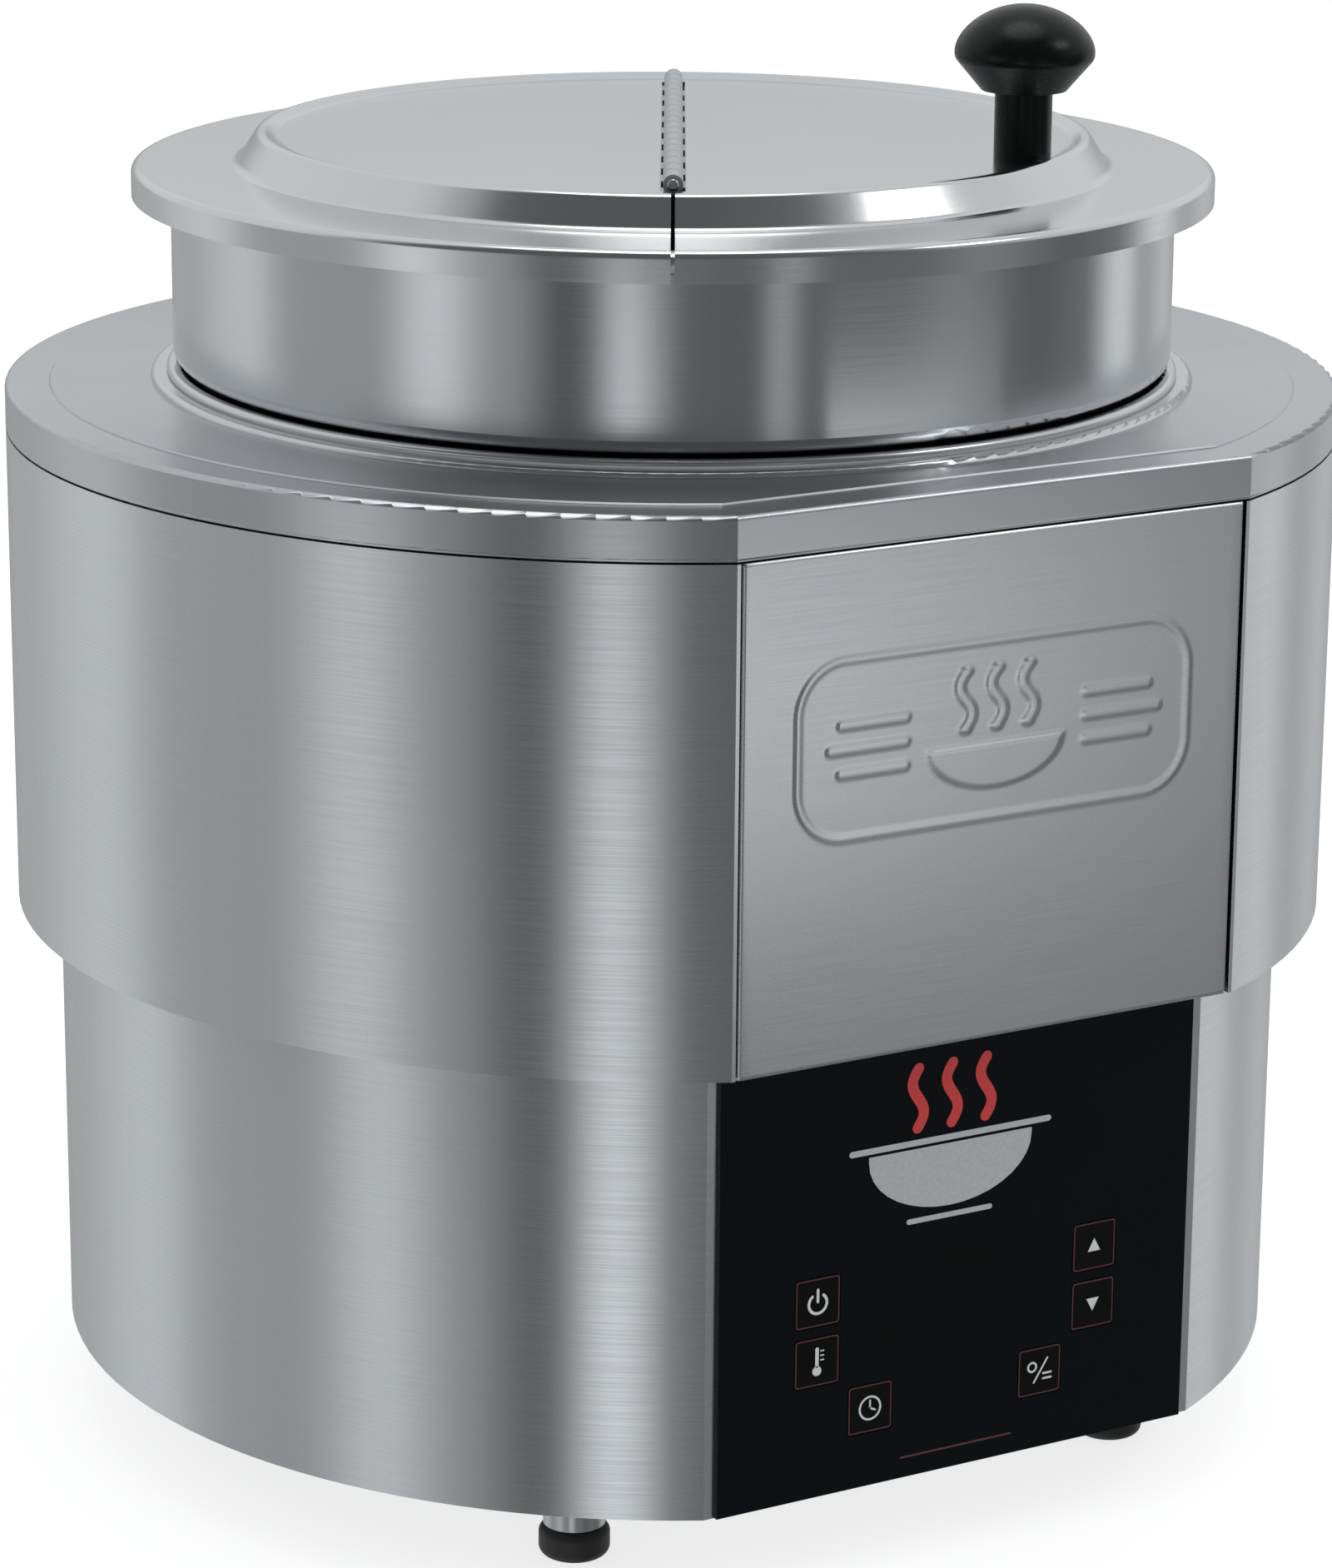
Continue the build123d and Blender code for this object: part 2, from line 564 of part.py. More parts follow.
def make_well_collar():
    """Low round-edged ring between the cover and the well's lip."""
    ring = tube(COLLAR_RADIUS, WELL_INNER_RADIUS + WELL_SHEET, COLLAR_BOTTOM, COLLAR_TOP)
    outer_edge = ring.edges().filter_by(GeomType.CIRCLE).group_by(Axis.Z)[-1].sort_by(SortBy.RADIUS)[-1]
    return fillet(outer_edge, COLLAR_ROUNDING)


def make_well_gasket():
    inner = WELL_INNER_RADIUS + WELL_SHEET + GASKET_INSET
    return tube(LIP_OUTER_RADIUS, inner, COLLAR_TOP, COLLAR_TOP + GASKET_THICKNESS)


def make_band_heater():
    """Mica band round the well, open at the back, with two ears for its clamp screw."""
    inner = WELL_INNER_RADIUS + WELL_SHEET
    outer = inner + BAND_HEATER_THICKNESS
    band = tube(outer, inner, BAND_HEATER_BOTTOM, BAND_HEATER_TOP)
    band -= block((-BAND_HALF_GAP, 0, BAND_HEATER_BOTTOM - OVERCUT),
                  (BAND_HALF_GAP, outer + OVERCUT, BAND_HEATER_TOP + OVERCUT))
    root = math.sqrt(inner ** 2 - BAND_HALF_GAP ** 2) + BAND_HEATER_THICKNESS / 2
    screw_hole = Pos(0, BAND_CLAMP_Y, BAND_HEATER_MIDDLE) * Rot(0, 90, 0)
    screw_hole *= Cylinder(BAND_CLAMP_RADIUS + HOLE_CLEARANCE, outer)
    for side in (-1, 1):
        low, high = span(side, BAND_HALF_GAP, BAND_HALF_GAP + BAND_EAR_THICKNESS)
        ear = block((low, root, BAND_HEATER_MIDDLE - BAND_EAR_HEIGHT / 2),
                    (high, BAND_EAR_TIP, BAND_HEATER_MIDDLE + BAND_EAR_HEIGHT / 2))
        band += ear - screw_hole
    return band


def make_band_clamp():
    """The screw and nut that draw the band's ears together."""
    reach = BAND_HALF_GAP + BAND_EAR_THICKNESS
    radius, height = BAND_CLAMP_HEAD
    clamp = cylinder(BAND_CLAMP_RADIUS, -reach - height, reach)
    clamp += cylinder(radius, reach, reach + height)
    clamp += hexagon(radius, -reach - height, -reach)
    return Pos(0, BAND_CLAMP_Y, BAND_HEATER_MIDDLE) * Rot(0, 90, 0) * clamp


def make_insulation_blanket():
    blanket = tube(BLANKET_OUTER_RADIUS, BLANKET_INNER_RADIUS, BLANKET_BOTTOM, BLANKET_TOP)
    return blanket - block((-BLANKET_GAP / 2, 0, BLANKET_BOTTOM - OVERCUT),
                           (BLANKET_GAP / 2, BLANKET_OUTER_RADIUS + OVERCUT, BLANKET_TOP + OVERCUT))


def retaining_stud_centres():
    return [on_circle(RETAINING_STUD_CIRCLE, angle) for angle in RETAINING_STUD_ANGLES]


def stud_drilled_ring(radius, bottom, top):
    """A ring under the well's floor, open in the middle for the thermostat, and drilled for the studs."""
    ring = tube(radius, FLOOR_HEATER_HOLE, bottom, top)
    for x, y in retaining_stud_centres():
        ring -= hole(RETAINING_STUD_RADIUS + HOLE_CLEARANCE, bottom, top, x, y)
    return ring


def make_floor_heater():
    return stud_drilled_ring(FLOOR_HEATER_RADIUS, HEATER_BOTTOM, WELL_FLOOR_BOTTOM)


def make_retaining_plate():
    return stud_drilled_ring(RETAINING_PLATE_RADIUS, RETAINING_PLATE_BOTTOM, HEATER_BOTTOM)


def make_retaining_studs():
    """Studs welded under the well's floor, with the nuts that hold the heater's plate up."""
    nut_bottom = RETAINING_PLATE_BOTTOM - RETAINING_NUT_HEIGHT
    studs = []
    for x, y in retaining_stud_centres():
        stud = cylinder(RETAINING_STUD_RADIUS, RETAINING_PLATE_BOTTOM - RETAINING_STUD_REACH,
                        WELL_FLOOR_BOTTOM, x, y)
        studs.append(stud + hexagon(RETAINING_NUT_RADIUS, nut_bottom, RETAINING_PLATE_BOTTOM, x, y))
    return joined(studs)


def make_high_limit_thermostat():
    """Disc thermostat against the well's floor, with two blade terminals."""
    cup_bottom = WELL_FLOOR_BOTTOM - THERMOSTAT_CUP
    base_radius, base_height = THERMOSTAT_BASE
    width, depth, length = THERMOSTAT_BLADE
    base_bottom = cup_bottom - base_height
    body = cylinder(THERMOSTAT_RADIUS, cup_bottom, WELL_FLOOR_BOTTOM)
    body += cylinder(base_radius, base_bottom, cup_bottom)
    for side in (-1, 1):
        middle = side * THERMOSTAT_BLADE_SPREAD
        body += block((middle - width / 2, -depth / 2, base_bottom - length),
                      (middle + width / 2, depth / 2, cup_bottom))
    return body


def make_temperature_probe():
    """Bulb that lies against the well's floor, beside the heater."""
    bulb = fillet(Cylinder(PROBE_RADIUS, PROBE_LENGTH).edges(), PROBE_ROUNDING)
    return Pos(0, PROBE_DISTANCE, WELL_FLOOR_BOTTOM - PROBE_RADIUS) * Rot(0, 90, 0) * bulb


def make_insulation_pad():
    return cylinder(PAD_RADIUS, SHIELD_Z + SHEET, SHIELD_Z + SHEET + PAD_THICKNESS)


def make_heat_shield():
    return d_plate(SHIELD_RADIUS, SHIELD_FLAT, SHIELD_Z, SHIELD_Z + SHEET)


def make_shield_posts():
    """Pillars that carry the shield, each with a thinner end down through the base plate."""
    plate_bottom = LOWER_BOTTOM + SHEET
    posts = []
    for x, y in SHIELD_POSTS:
        post = cylinder(SHIELD_POST_RADIUS, plate_bottom + BASE_THICKNESS, SHIELD_Z, x, y)
        posts.append(post + cylinder(SHIELD_SCREW_RADIUS, plate_bottom, SHIELD_Z, x, y))
    return joined(posts)


# --- inset pan ------------------------------------------------------------------------------------
def make_inset_pan():
    """Round pan: narrow body, shoulder, wide upper band and an open rolled rim."""
    body = PAN_BODY_RADIUS - PAN_SHEET
    band = PAN_BAND_RADIUS - PAN_SHEET
    points = [
        (0, PAN_BOTTOM + PAN_SHEET),
        (body, PAN_BOTTOM + PAN_SHEET),
        (body, PAN_SHOULDER_LOW),
        (band, PAN_SHOULDER_HIGH),
        (band, PAN_RIM_TOP),
        (PAN_RIM_RADIUS, PAN_RIM_TOP),
        (PAN_RIM_RADIUS, PAN_RIM_BOTTOM),
        (PAN_RIM_LIP, PAN_RIM_BOTTOM),
    ]
    return Pos(0, 0, CASING_TOP) * turned_sheet(points, PAN_BENDS, PAN_SHEET)


# --- lid ------------------------------------------------------------------------------------------
HINGE_HEIGHT = CASING_TOP + HINGE_Z
HINGE_HALF = KNUCKLES * KNUCKLE_PITCH / 2
PLATEAU = CASING_TOP + LID_PLATEAU_TOP
LEAF_TOP = PLATEAU - LID_SHEET
LEAF_BOTTOM = LEAF_TOP - LEAF_THICKNESS
LID_CUT_TOP = CASING_TOP + LID_CREST_TOP + OVERCUT
LID_CUT_RADIUS = LID_RADIUS + LID_SHEET + OVERCUT


def make_lid_dish():
    """The whole lid before it is cut in two: dished plateau, crest, steep wall, flange and skirt."""
    points = [
        (0, LID_PLATEAU_TOP),
        (LID_PLATEAU_RADIUS, LID_PLATEAU_TOP),
        (LID_CREST_INNER, LID_CREST_TOP),
        (LID_CREST_OUTER, LID_CREST_TOP),
        (LID_FOOT_RADIUS, LID_FLANGE_TOP),
        (LID_RADIUS, LID_FLANGE_TOP),
        (LID_RADIUS, LID_SKIRT_BOTTOM),
    ]
    return Pos(0, 0, CASING_TOP) * turned_sheet(points, LID_BENDS, LID_SHEET)


def make_lid_half(side):
    """One half of the lid: side -1 is the fixed half and +1 the flap."""
    low, high = span(side, LID_SEAM / 2, LID_CUT_RADIUS)
    half = make_lid_dish() & block((low, -LID_CUT_RADIUS, CASING_TOP), (high, LID_CUT_RADIUS, LID_CUT_TOP))
    slot_end = HINGE_HALF + HINGE_SLOT_END
    return half - block((-HINGE_SLOT_HALF, -slot_end, CASING_TOP), (HINGE_SLOT_HALF, slot_end, LID_CUT_TOP))


def make_lid_fixed_half():
    return lid_frame(make_lid_half(-1))


def make_lid_flap():
    screw_hole = hole(KNOB_SCREW_RADIUS + HOLE_CLEARANCE, LEAF_TOP, PLATEAU, KNOB_ACROSS, KNOB_ALONG)
    return lid_frame(make_lid_half(1) - screw_hole)


def along_hinge(solid, y=0.0):
    """Lays an upright solid along the hinge line."""
    return Pos(0, y, HINGE_HEIGHT) * Rot(90, 0, 0) * solid


def make_hinge_leaf(side, first, bore):
    """A leaf under the lid's sheet, with every second knuckle of the barrel."""
    low, high = span(side, NOTCH_HALF, LEAF_WIDTH)
    root_low, root_high = span(side, 0, NOTCH_HALF)
    leaf = block((low, -HINGE_HALF, LEAF_BOTTOM), (high, HINGE_HALF, LEAF_TOP))
    length = KNUCKLE_PITCH - KNUCKLE_GAP
    for i in range(first, KNUCKLES, 2):
        start = -HINGE_HALF + i * KNUCKLE_PITCH + KNUCKLE_GAP / 2
        leaf += block((root_low, start, LEAF_BOTTOM), (root_high, start + length, LEAF_TOP))
        leaf += along_hinge(Cylinder(BARREL_RADIUS, length), start + length / 2)
    return lid_frame(leaf - along_hinge(Cylinder(bore, 2 * (HINGE_HALF + OVERCUT))))


def make_hinge_leaf_fixed():
    return make_hinge_leaf(-1, 0, PIN_RADIUS)


def make_hinge_leaf_flap():
    return make_hinge_leaf(1, 1, PIN_RADIUS + PIN_CLEARANCE)


def make_hinge_pin():
    pin = fillet(Cylinder(PIN_RADIUS, 2 * HINGE_HALF + HINGE_SLOT_END).edges(), PIN_ROUNDING)
    return lid_frame(along_hinge(pin))


# --- knob -----------------------------------------------------------------------------------------
def at_knob(solid):
    return lid_frame(Pos(KNOB_ACROSS, KNOB_ALONG, PLATEAU) * solid)


def make_lid_knob():
    """Straight stem, a cone that opens to the widest ring, and a domed crown."""
    upward, inward = KNOB_CROWN_PULLS
    crown = Bezier(
        (KNOB_HEAD_RADIUS, KNOB_WIDEST),
        (KNOB_HEAD_RADIUS, KNOB_WIDEST + upward * (KNOB_HEIGHT - KNOB_WIDEST)),
        (KNOB_HEAD_RADIUS * inward, KNOB_HEIGHT),
        (0, KNOB_HEIGHT),
    )
    sides = Polyline(
        (0, KNOB_HEIGHT),
        (0, 0),
        (KNOB_STEM_RADIUS, 0),
        (KNOB_STEM_RADIUS, KNOB_STEM_HEIGHT),
        (KNOB_NECK_RADIUS, KNOB_STEM_HEIGHT),
        (KNOB_HEAD_RADIUS, KNOB_WIDEST - KNOB_BAND),
        (KNOB_HEAD_RADIUS, KNOB_WIDEST),
    )
    knob = revolve(Plane.XZ * make_face([*sides.edges(), *crown.edges()]), Axis.Z)
    cone = knob.faces().filter_by(GeomType.CONE)[0]
    knob = fillet(cone.edges().sort_by(Axis.Z)[-1], KNOB_EDGE_ROUNDING)
    knob -= cylinder(KNOB_INSERT_RADIUS, -OVERCUT, KNOB_INSERT_LENGTH)
    return at_knob(knob)


def make_knob_insert():
    return at_knob(tube(KNOB_INSERT_RADIUS, KNOB_SCREW_RADIUS, 0, KNOB_INSERT_LENGTH))


WASHER_TOP = -LID_SHEET
WASHER_BOTTOM = WASHER_TOP - KNOB_WASHER_THICKNESS


def make_knob_washer():
    return at_knob(tube(KNOB_WASHER_RADIUS, KNOB_SCREW_RADIUS + HOLE_CLEARANCE, WASHER_BOTTOM, WASHER_TOP))


def make_knob_screw():
    """Domed screw from under the lid, through the washer, into the knob's insert."""
    radius, height = KNOB_SCREW_HEAD
    head = cylinder(radius, WASHER_BOTTOM - height, WASHER_BOTTOM)
    head = fillet(head.faces().sort_by(Axis.Z)[0].edges(), KNOB_SCREW_DOME)
    shank = cylinder(KNOB_SCREW_RADIUS, WASHER_BOTTOM - height / 2, KNOB_INSERT_LENGTH - KNOB_SCREW_SHORT)
    return at_knob(head + shank)


# --- controls -------------------------------------------------------------------------------------
def make_control_overlay():
    """Face of the control panel, with a window for each key and one for the display."""
    height = OVERLAY_TOP - LOWER_BOTTOM
    middle = (OVERLAY_TOP + LOWER_BOTTOM) / 2
    overlay = front_plate(2 * OVERLAY_HALF_WIDTH, height, 0, middle, LOWER_SHEET_FLAT, LOWER_FLAT)
    window = KEY_SIZE + 2 * KEY_CLEARANCE
    corner = KEY_CORNER + KEY_CLEARANCE
    for x, z in KEYS.values():
        overlay -= front_window(window, window, x, z, LOWER_SHEET_FLAT, LOWER_FLAT, corner)
    return overlay - front_window(DISPLAY_WIDTH, DISPLAY_HEIGHT, 0, DISPLAY_CENTRE_Z,
                                  LOWER_SHEET_FLAT, LOWER_FLAT, DISPLAY_CORNER)


def make_display_window():
    return front_plate(DISPLAY_WIDTH, DISPLAY_HEIGHT, 0, DISPLAY_CENTRE_Z,
                       LOWER_SHEET_FLAT, LOWER_FLAT, DISPLAY_CORNER)


def make_key(x, z):
    """A pad flush in the overlay, with a post that reaches the switch behind it."""
    back = LOWER_FLAT - KEY_THICKNESS
    pad = front_plate(KEY_SIZE, KEY_SIZE, x, z, back, LOWER_FLAT, KEY_CORNER)
    return pad + front_rod(KEY_POST_RADIUS, x, z, back - KEY_POST_LENGTH, back)


def make_control_board():
    back = BOARD_FACE - BOARD_THICKNESS
    board = front_plate(2 * BOARD_HALF_WIDTH, BOARD_TOP - BOARD_BOTTOM, 0, (BOARD_TOP + BOARD_BOTTOM) / 2,
                        back, BOARD_FACE, BOARD_CORNER)
    for x, z in STANDOFFS:
        board -= front_hole(BOARD_SCREW_RADIUS + HOLE_CLEARANCE, x, z, back, BOARD_FACE)
    return board


def make_key_switches():
    case_front = BOARD_FACE + SWITCH_BODY
    radius, height = SWITCH_BUTTON
    switches = []
    for x, z in KEYS.values():
        case = front_plate(SWITCH_SIZE, SWITCH_SIZE, x, z, BOARD_FACE, case_front)
        switches.append(case + front_rod(radius, x, z, case_front, case_front + height))
    return joined(switches)


def make_display_module():
    return front_plate(DISPLAY_WIDTH - 2 * MODULE_LAP, DISPLAY_HEIGHT - 2 * MODULE_LAP,
                       0, DISPLAY_CENTRE_Z, BOARD_FACE, BOARD_FACE + MODULE_DEPTH)


def make_board_standoffs():
    """Threaded pillars on the lower wrapper's flat, which the board screws into."""
    inside = LOWER_SHEET_FLAT - SHEET
    pillars = []
    for x, z in STANDOFFS:
        pillar = front_rod(STANDOFF_RADIUS, x, z, BOARD_FACE, inside)
        thread = front_rod(BOARD_SCREW_RADIUS, x, z, BOARD_FACE - OVERCUT, inside - STANDOFF_WALL)
        pillars.append(pillar - thread)
    return joined(pillars)


def make_board_screws():
    radius, height = BOARD_SCREW_HEAD
    back = BOARD_FACE - BOARD_THICKNESS
    screws = []
    for x, z in STANDOFFS:
        head = front_rod(radius, x, z, back - height, back)
        shank = front_rod(BOARD_SCREW_RADIUS, x, z, back - height / 2, BOARD_FACE + BOARD_SCREW_REACH)
        screws.append(head + shank)
    return joined(screws)


# --- parts on the base plate ----------------------------------------------------------------------
BASE_TOP = LOWER_BOTTOM + SHEET + BASE_THICKNESS


def block_on(corner, size, bottom):
    """A box by its lower left corner on a level, its size and that level."""
    low = (*corner, bottom)
    return block(low, [low[i] + size[i] for i in range(3)])


def make_power_relay():
    """Solid-state relay: a moulded block on a metal foot, with four screw terminals."""
    foot_top = BASE_TOP + RELAY_FOOT_THICKNESS
    relay = block_on(RELAY_CORNER, RELAY_SIZE, foot_top)
    relay = fillet(relay.edges().filter_by(Axis.Z), RELAY_BEND)
    foot_corner = [RELAY_CORNER[i] - RELAY_FOOT_MARGIN[i] for i in range(2)]
    foot_size = [RELAY_SIZE[i] + 2 * RELAY_FOOT_MARGIN[i] for i in range(2)]
    relay += block_on(foot_corner, (*foot_size, RELAY_FOOT_THICKNESS), BASE_TOP)
    radius, height = RELAY_SCREW
    top = foot_top + RELAY_SIZE[2]
    for x_end in (0, 1):
        for y_end in (0, 1):
            x = RELAY_CORNER[0] + RELAY_SCREW_INSET[0] + x_end * (RELAY_SIZE[0] - 2 * RELAY_SCREW_INSET[0])
            y = RELAY_CORNER[1] + RELAY_SCREW_INSET[1] + y_end * (RELAY_SIZE[1] - 2 * RELAY_SCREW_INSET[1])
            relay += cylinder(radius, top, top + height, x, y)
    return relay


def make_terminal_block():
    """A row of screw clamps for the mains conductors."""
    terminal = block_on(TERMINAL_CORNER, TERMINAL_SIZE, BASE_TOP)
    clamp_bottom = BASE_TOP + TERMINAL_SIZE[2]
    clamp_top = clamp_bottom + CLAMP_SIZE[2]
    for i in range(CLAMP_COUNT):
        x = TERMINAL_CORNER[0] + CLAMP_INSET + i * CLAMP_PITCH
        y = TERMINAL_CORNER[1] + CLAMP_INSET
        terminal += block_on((x, y), CLAMP_SIZE, clamp_bottom)
        terminal -= cylinder(CLAMP_HOLE_RADIUS, clamp_top - CLAMP_HOLE_DEPTH, clamp_top + OVERCUT,
                             x + CLAMP_SIZE[0] / 2, y + CLAMP_SIZE[1] / 2)
    return terminal


# --- rear -----------------------------------------------------------------------------------------
def make_cord_gland():
    """Threaded body through the rear wall, with its hexagon and a tapered nose outside."""
    body = rear_rod(GLAND_BODY_RADIUS, GLAND_Z, LOWER_RADIUS - GLAND_THREAD, LOWER_RADIUS)
    head = hexagon(GLAND_NUT_RADIUS, 0, GLAND_NUT_THICKNESS)
    nose = Cone(GLAND_BODY_RADIUS, GLAND_BORE_RADIUS + GLAND_NOSE_WALL, GLAND_NOSE_LENGTH,
                align=(Align.CENTER, Align.CENTER, Align.MIN))
    outside = pointing_back(head + Pos(0, 0, GLAND_NUT_THICKNESS) * nose, LOWER_RADIUS, GLAND_Z)
    return body + outside - rear_hole(GLAND_BORE_RADIUS, GLAND_Z)


def make_gland_locknut():
    """Hexagon nut whose outer corners touch the wall from inside."""
    inside = math.sqrt((LOWER_RADIUS - SHEET) ** 2 - GLAND_NUT_RADIUS ** 2)
    nut = hexagon(GLAND_NUT_RADIUS, -GLAND_NUT_THICKNESS, 0)
    nut = pointing_back(nut, inside, GLAND_Z)
    return nut - rear_hole(GLAND_BODY_RADIUS + GLAND_NUT_FIT, GLAND_Z)


def make_seam_rivets():
    """Domed rivets that close the lower wrapper's rear seam."""
    rivets = []
    for height in RIVET_HEIGHTS:
        head = rear_rod(RIVET_HEAD_RADIUS, height, LOWER_RADIUS, LOWER_RADIUS + RIVET_HEAD_HEIGHT)
        head = fillet(head.faces().sort_by(Axis.Y)[-1].edges(), RIVET_DOME)
        shank = rear_rod(RIVET_SHANK_RADIUS, height, LOWER_RADIUS - SHEET - RIVET_TAIL, LOWER_RADIUS)
        rivets.append(Rot(0, 0, RIVET_TURN) * (head + shank))
    return joined(rivets)


NODES = {
    "top_cover": make_top_cover,
    "upper_wrapper": make_upper_wrapper,
    "front_panel": make_front_panel,
    "step_ring": make_step_ring,
    "lower_wrapper": make_lower_wrapper,
    "base_plate": make_base_plate,
    "base_screws": make_base_screws,
    "foot_collars": make_foot_collars,
    "foot_tips": make_foot_tips,
    "foot_studs": make_foot_studs,
    "heated_well": make_heated_well,
    "well_collar": make_well_collar,
    "well_gasket": make_well_gasket,
    "band_heater": make_band_heater,
    "band_clamp": make_band_clamp,
    "insulation_blanket": make_insulation_blanket,
    "floor_heater": make_floor_heater,
    "retaining_plate": make_retaining_plate,
    "retaining_studs": make_retaining_studs,
    "high_limit_thermostat": make_high_limit_thermostat,
    "temperature_probe": make_temperature_probe,
    "insulation_pad": make_insulation_pad,
    "heat_shield": make_heat_shield,
    "shield_posts": make_shield_posts,
    "inset_pan": make_inset_pan,
    "lid_fixed_half": make_lid_fixed_half,
    "lid_flap": make_lid_flap,
    "hinge_leaf_fixed": make_hinge_leaf_fixed,
    "hinge_leaf_flap": make_hinge_leaf_flap,
    "hinge_pin": make_hinge_pin,
    "lid_knob": make_lid_knob,
    "knob_insert": make_knob_insert,
    "knob_washer": make_knob_washer,
    "knob_screw": make_knob_screw,
    "control_overlay": make_control_overlay,
    "display_window": make_display_window,
    "control_board": make_control_board,
    "key_switches": make_key_switches,
    "display_module": make_display_module,
    "board_standoffs": make_board_standoffs,
    "board_screws": make_board_screws,
    "power_relay": make_power_relay,
    "terminal_block": make_terminal_block,
    "cord_gland": make_cord_gland,
    "gland_locknut": make_gland_locknut,
    "seam_rivets": make_seam_rivets,
}

os.makedirs("parts", exist_ok=True)
for node, make in NODES.items():
    export_step(Pos(0, WELL_Y, 0) * make(), f"parts/{node}.step")
for node, (key_x, key_z) in KEYS.items():
    export_step(Pos(0, WELL_Y, 0) * make_key(key_x, key_z), f"parts/{node}.step")
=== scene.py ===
import json
import math

import bmesh
import bpy
import numpy as np
from mathutils import Matrix, Vector


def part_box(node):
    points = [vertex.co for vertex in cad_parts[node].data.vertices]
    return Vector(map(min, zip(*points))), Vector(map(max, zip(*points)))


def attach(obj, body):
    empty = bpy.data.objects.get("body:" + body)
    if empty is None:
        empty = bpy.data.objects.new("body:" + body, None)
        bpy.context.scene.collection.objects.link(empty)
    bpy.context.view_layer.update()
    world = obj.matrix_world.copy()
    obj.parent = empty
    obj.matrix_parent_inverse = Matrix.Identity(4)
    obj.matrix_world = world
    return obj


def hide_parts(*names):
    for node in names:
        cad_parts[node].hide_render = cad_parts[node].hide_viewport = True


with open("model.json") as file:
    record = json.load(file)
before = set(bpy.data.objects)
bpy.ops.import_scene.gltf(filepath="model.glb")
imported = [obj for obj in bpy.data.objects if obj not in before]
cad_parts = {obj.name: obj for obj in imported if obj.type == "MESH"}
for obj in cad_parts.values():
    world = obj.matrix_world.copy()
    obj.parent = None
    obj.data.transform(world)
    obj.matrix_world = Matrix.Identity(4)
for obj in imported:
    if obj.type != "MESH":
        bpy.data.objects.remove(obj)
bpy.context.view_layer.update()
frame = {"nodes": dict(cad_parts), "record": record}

# A countertop round heated well, seen from its front left. Metres, +Z up, the flat front faces -Y.

MM = 0.001
WELL_LOW, WELL_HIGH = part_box("heated_well")
AXIS = Vector(((WELL_LOW.x + WELL_HIGH.x) / 2, (WELL_LOW.y + WELL_HIGH.y) / 2, 0))
LID_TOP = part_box("lid_fixed_half")[1].z

# --- camera and studio ----------------------------------------------------------------------------
CAMERA_PLACE = (-0.6595, -1.1579, 0.5421)
CAMERA_AIM = (-0.0377, -0.0721, 0.1895)
CAMERA_ROLL = 0.42               # degrees
CAMERA_LENS = 116.98
SENSOR = 36.0
CLIP_NEAR, CLIP_FAR = 0.05, 100.0

# Brightness of the studio's walls round the object, by the angle from the camera's side, in degrees:
# negative is to the camera's left. These give upright steel its soft upright bands.
CAMERA_SIDE = -119.7             # the camera's own direction, counted from +X
LOW_STRIPS = (
    (-180, 0.30), (-150, 0.50), (-112, 0.80), (-93, 0.45), (-72, 0.44), (-55, 0.90), (-38, 0.42),
    (-24, 0.13), (-18, 0.15), (-11, 0.36), (-3, 0.17), (3, 0.17), (18, 0.15), (24, 0.50), (31, 0.16),
    (50, 0.17), (67, 0.28), (90, 0.15), (106, 0.20), (122, 0.92), (135, 0.48), (150, 0.62), (168, 0.42),
)
HIGH_STRIPS = (
    (-180, 0.80), (-120, 0.82), (-86, 0.80), (-72, 0.50), (-60, 0.13), (0, 0.12), (48, 0.15), (62, 0.38),
    (90, 0.70), (130, 0.86),
)
MAIN_STRIP_TURN = -9.0           # the brightest band, strong below and faint at the pan's height
MAIN_STRIP_HALF = 13.0
MAIN_STRIP_GLOW = 1.15
MAIN_STRIP_FULL = -0.235         # sine of the height below which it is at full strength
MAIN_STRIP_WEAK = -0.190         # and above which only a part is left
MAIN_STRIP_REST = 0.08
STUDIO_TINT = (0.965, 0.985, 1.0)
HIGH_FROM = 0.02                 # sine of the height at which the upper walls start
HIGH_FULL = 0.22
ROOM_LIGHT = 1.0                 # what matt surfaces receive
BACKDROP_WHITE = 1.0
HALF_ROUND_UP = 1.5              # half a turn puts the camera's side mid-ramp, a whole one keeps it positive

KEY_TURN = 74.0                  # the key softbox, from the camera's side
KEY_HEIGHT = 40.0                # degrees above the lid
KEY_DISTANCE = 1.9
KEY_SIZE = (0.62, 0.50)
KEY_POWER = 3.2
TOP_HEIGHT = 1.6
TOP_SIZE = 1.1
TOP_POWER = 6.0
FLOOR_RADIUS = 14.0
FLOOR_SEGMENTS = 96
FLOOR_TONE = 0.32
FLOOR_ROUGHNESS = 0.9
FLOOR_GLOW = 0.76

# A strip of light low in front of the panel. The panel's flat face mirrors it, brightest at the left.
CARD_PLACE = (0.13, -0.35, 0.192)
CARD_HALF = (0.14, 0.060)
CARD_LEVELS = (0.96, 0.35)       # at its left and right ends, as the panel shows it


def direction(turn, height):
    """Unit vector by the angle from the camera's side and the height above the horizon, in degrees."""
    azimuth = math.radians(CAMERA_SIDE + turn)
    up = math.radians(height)
    return Vector((math.cos(azimuth) * math.cos(up), math.sin(azimuth) * math.cos(up), math.sin(up)))


def make_camera():
    data = bpy.data.cameras.new("camera")
    data.lens = CAMERA_LENS
    data.sensor_width = SENSOR
    data.clip_start = CLIP_NEAR
    data.clip_end = CLIP_FAR
    camera = bpy.data.objects.new("camera", data)
    bpy.context.scene.collection.objects.link(camera)
    looking = (Vector(CAMERA_AIM) - Vector(CAMERA_PLACE)).to_track_quat("-Z", "Y").to_matrix().to_4x4()
    roll = Matrix.Rotation(math.radians(CAMERA_ROLL), 4, "Z")
    camera.matrix_world = Matrix.Translation(CAMERA_PLACE) @ looking @ roll
    bpy.context.scene.camera = camera


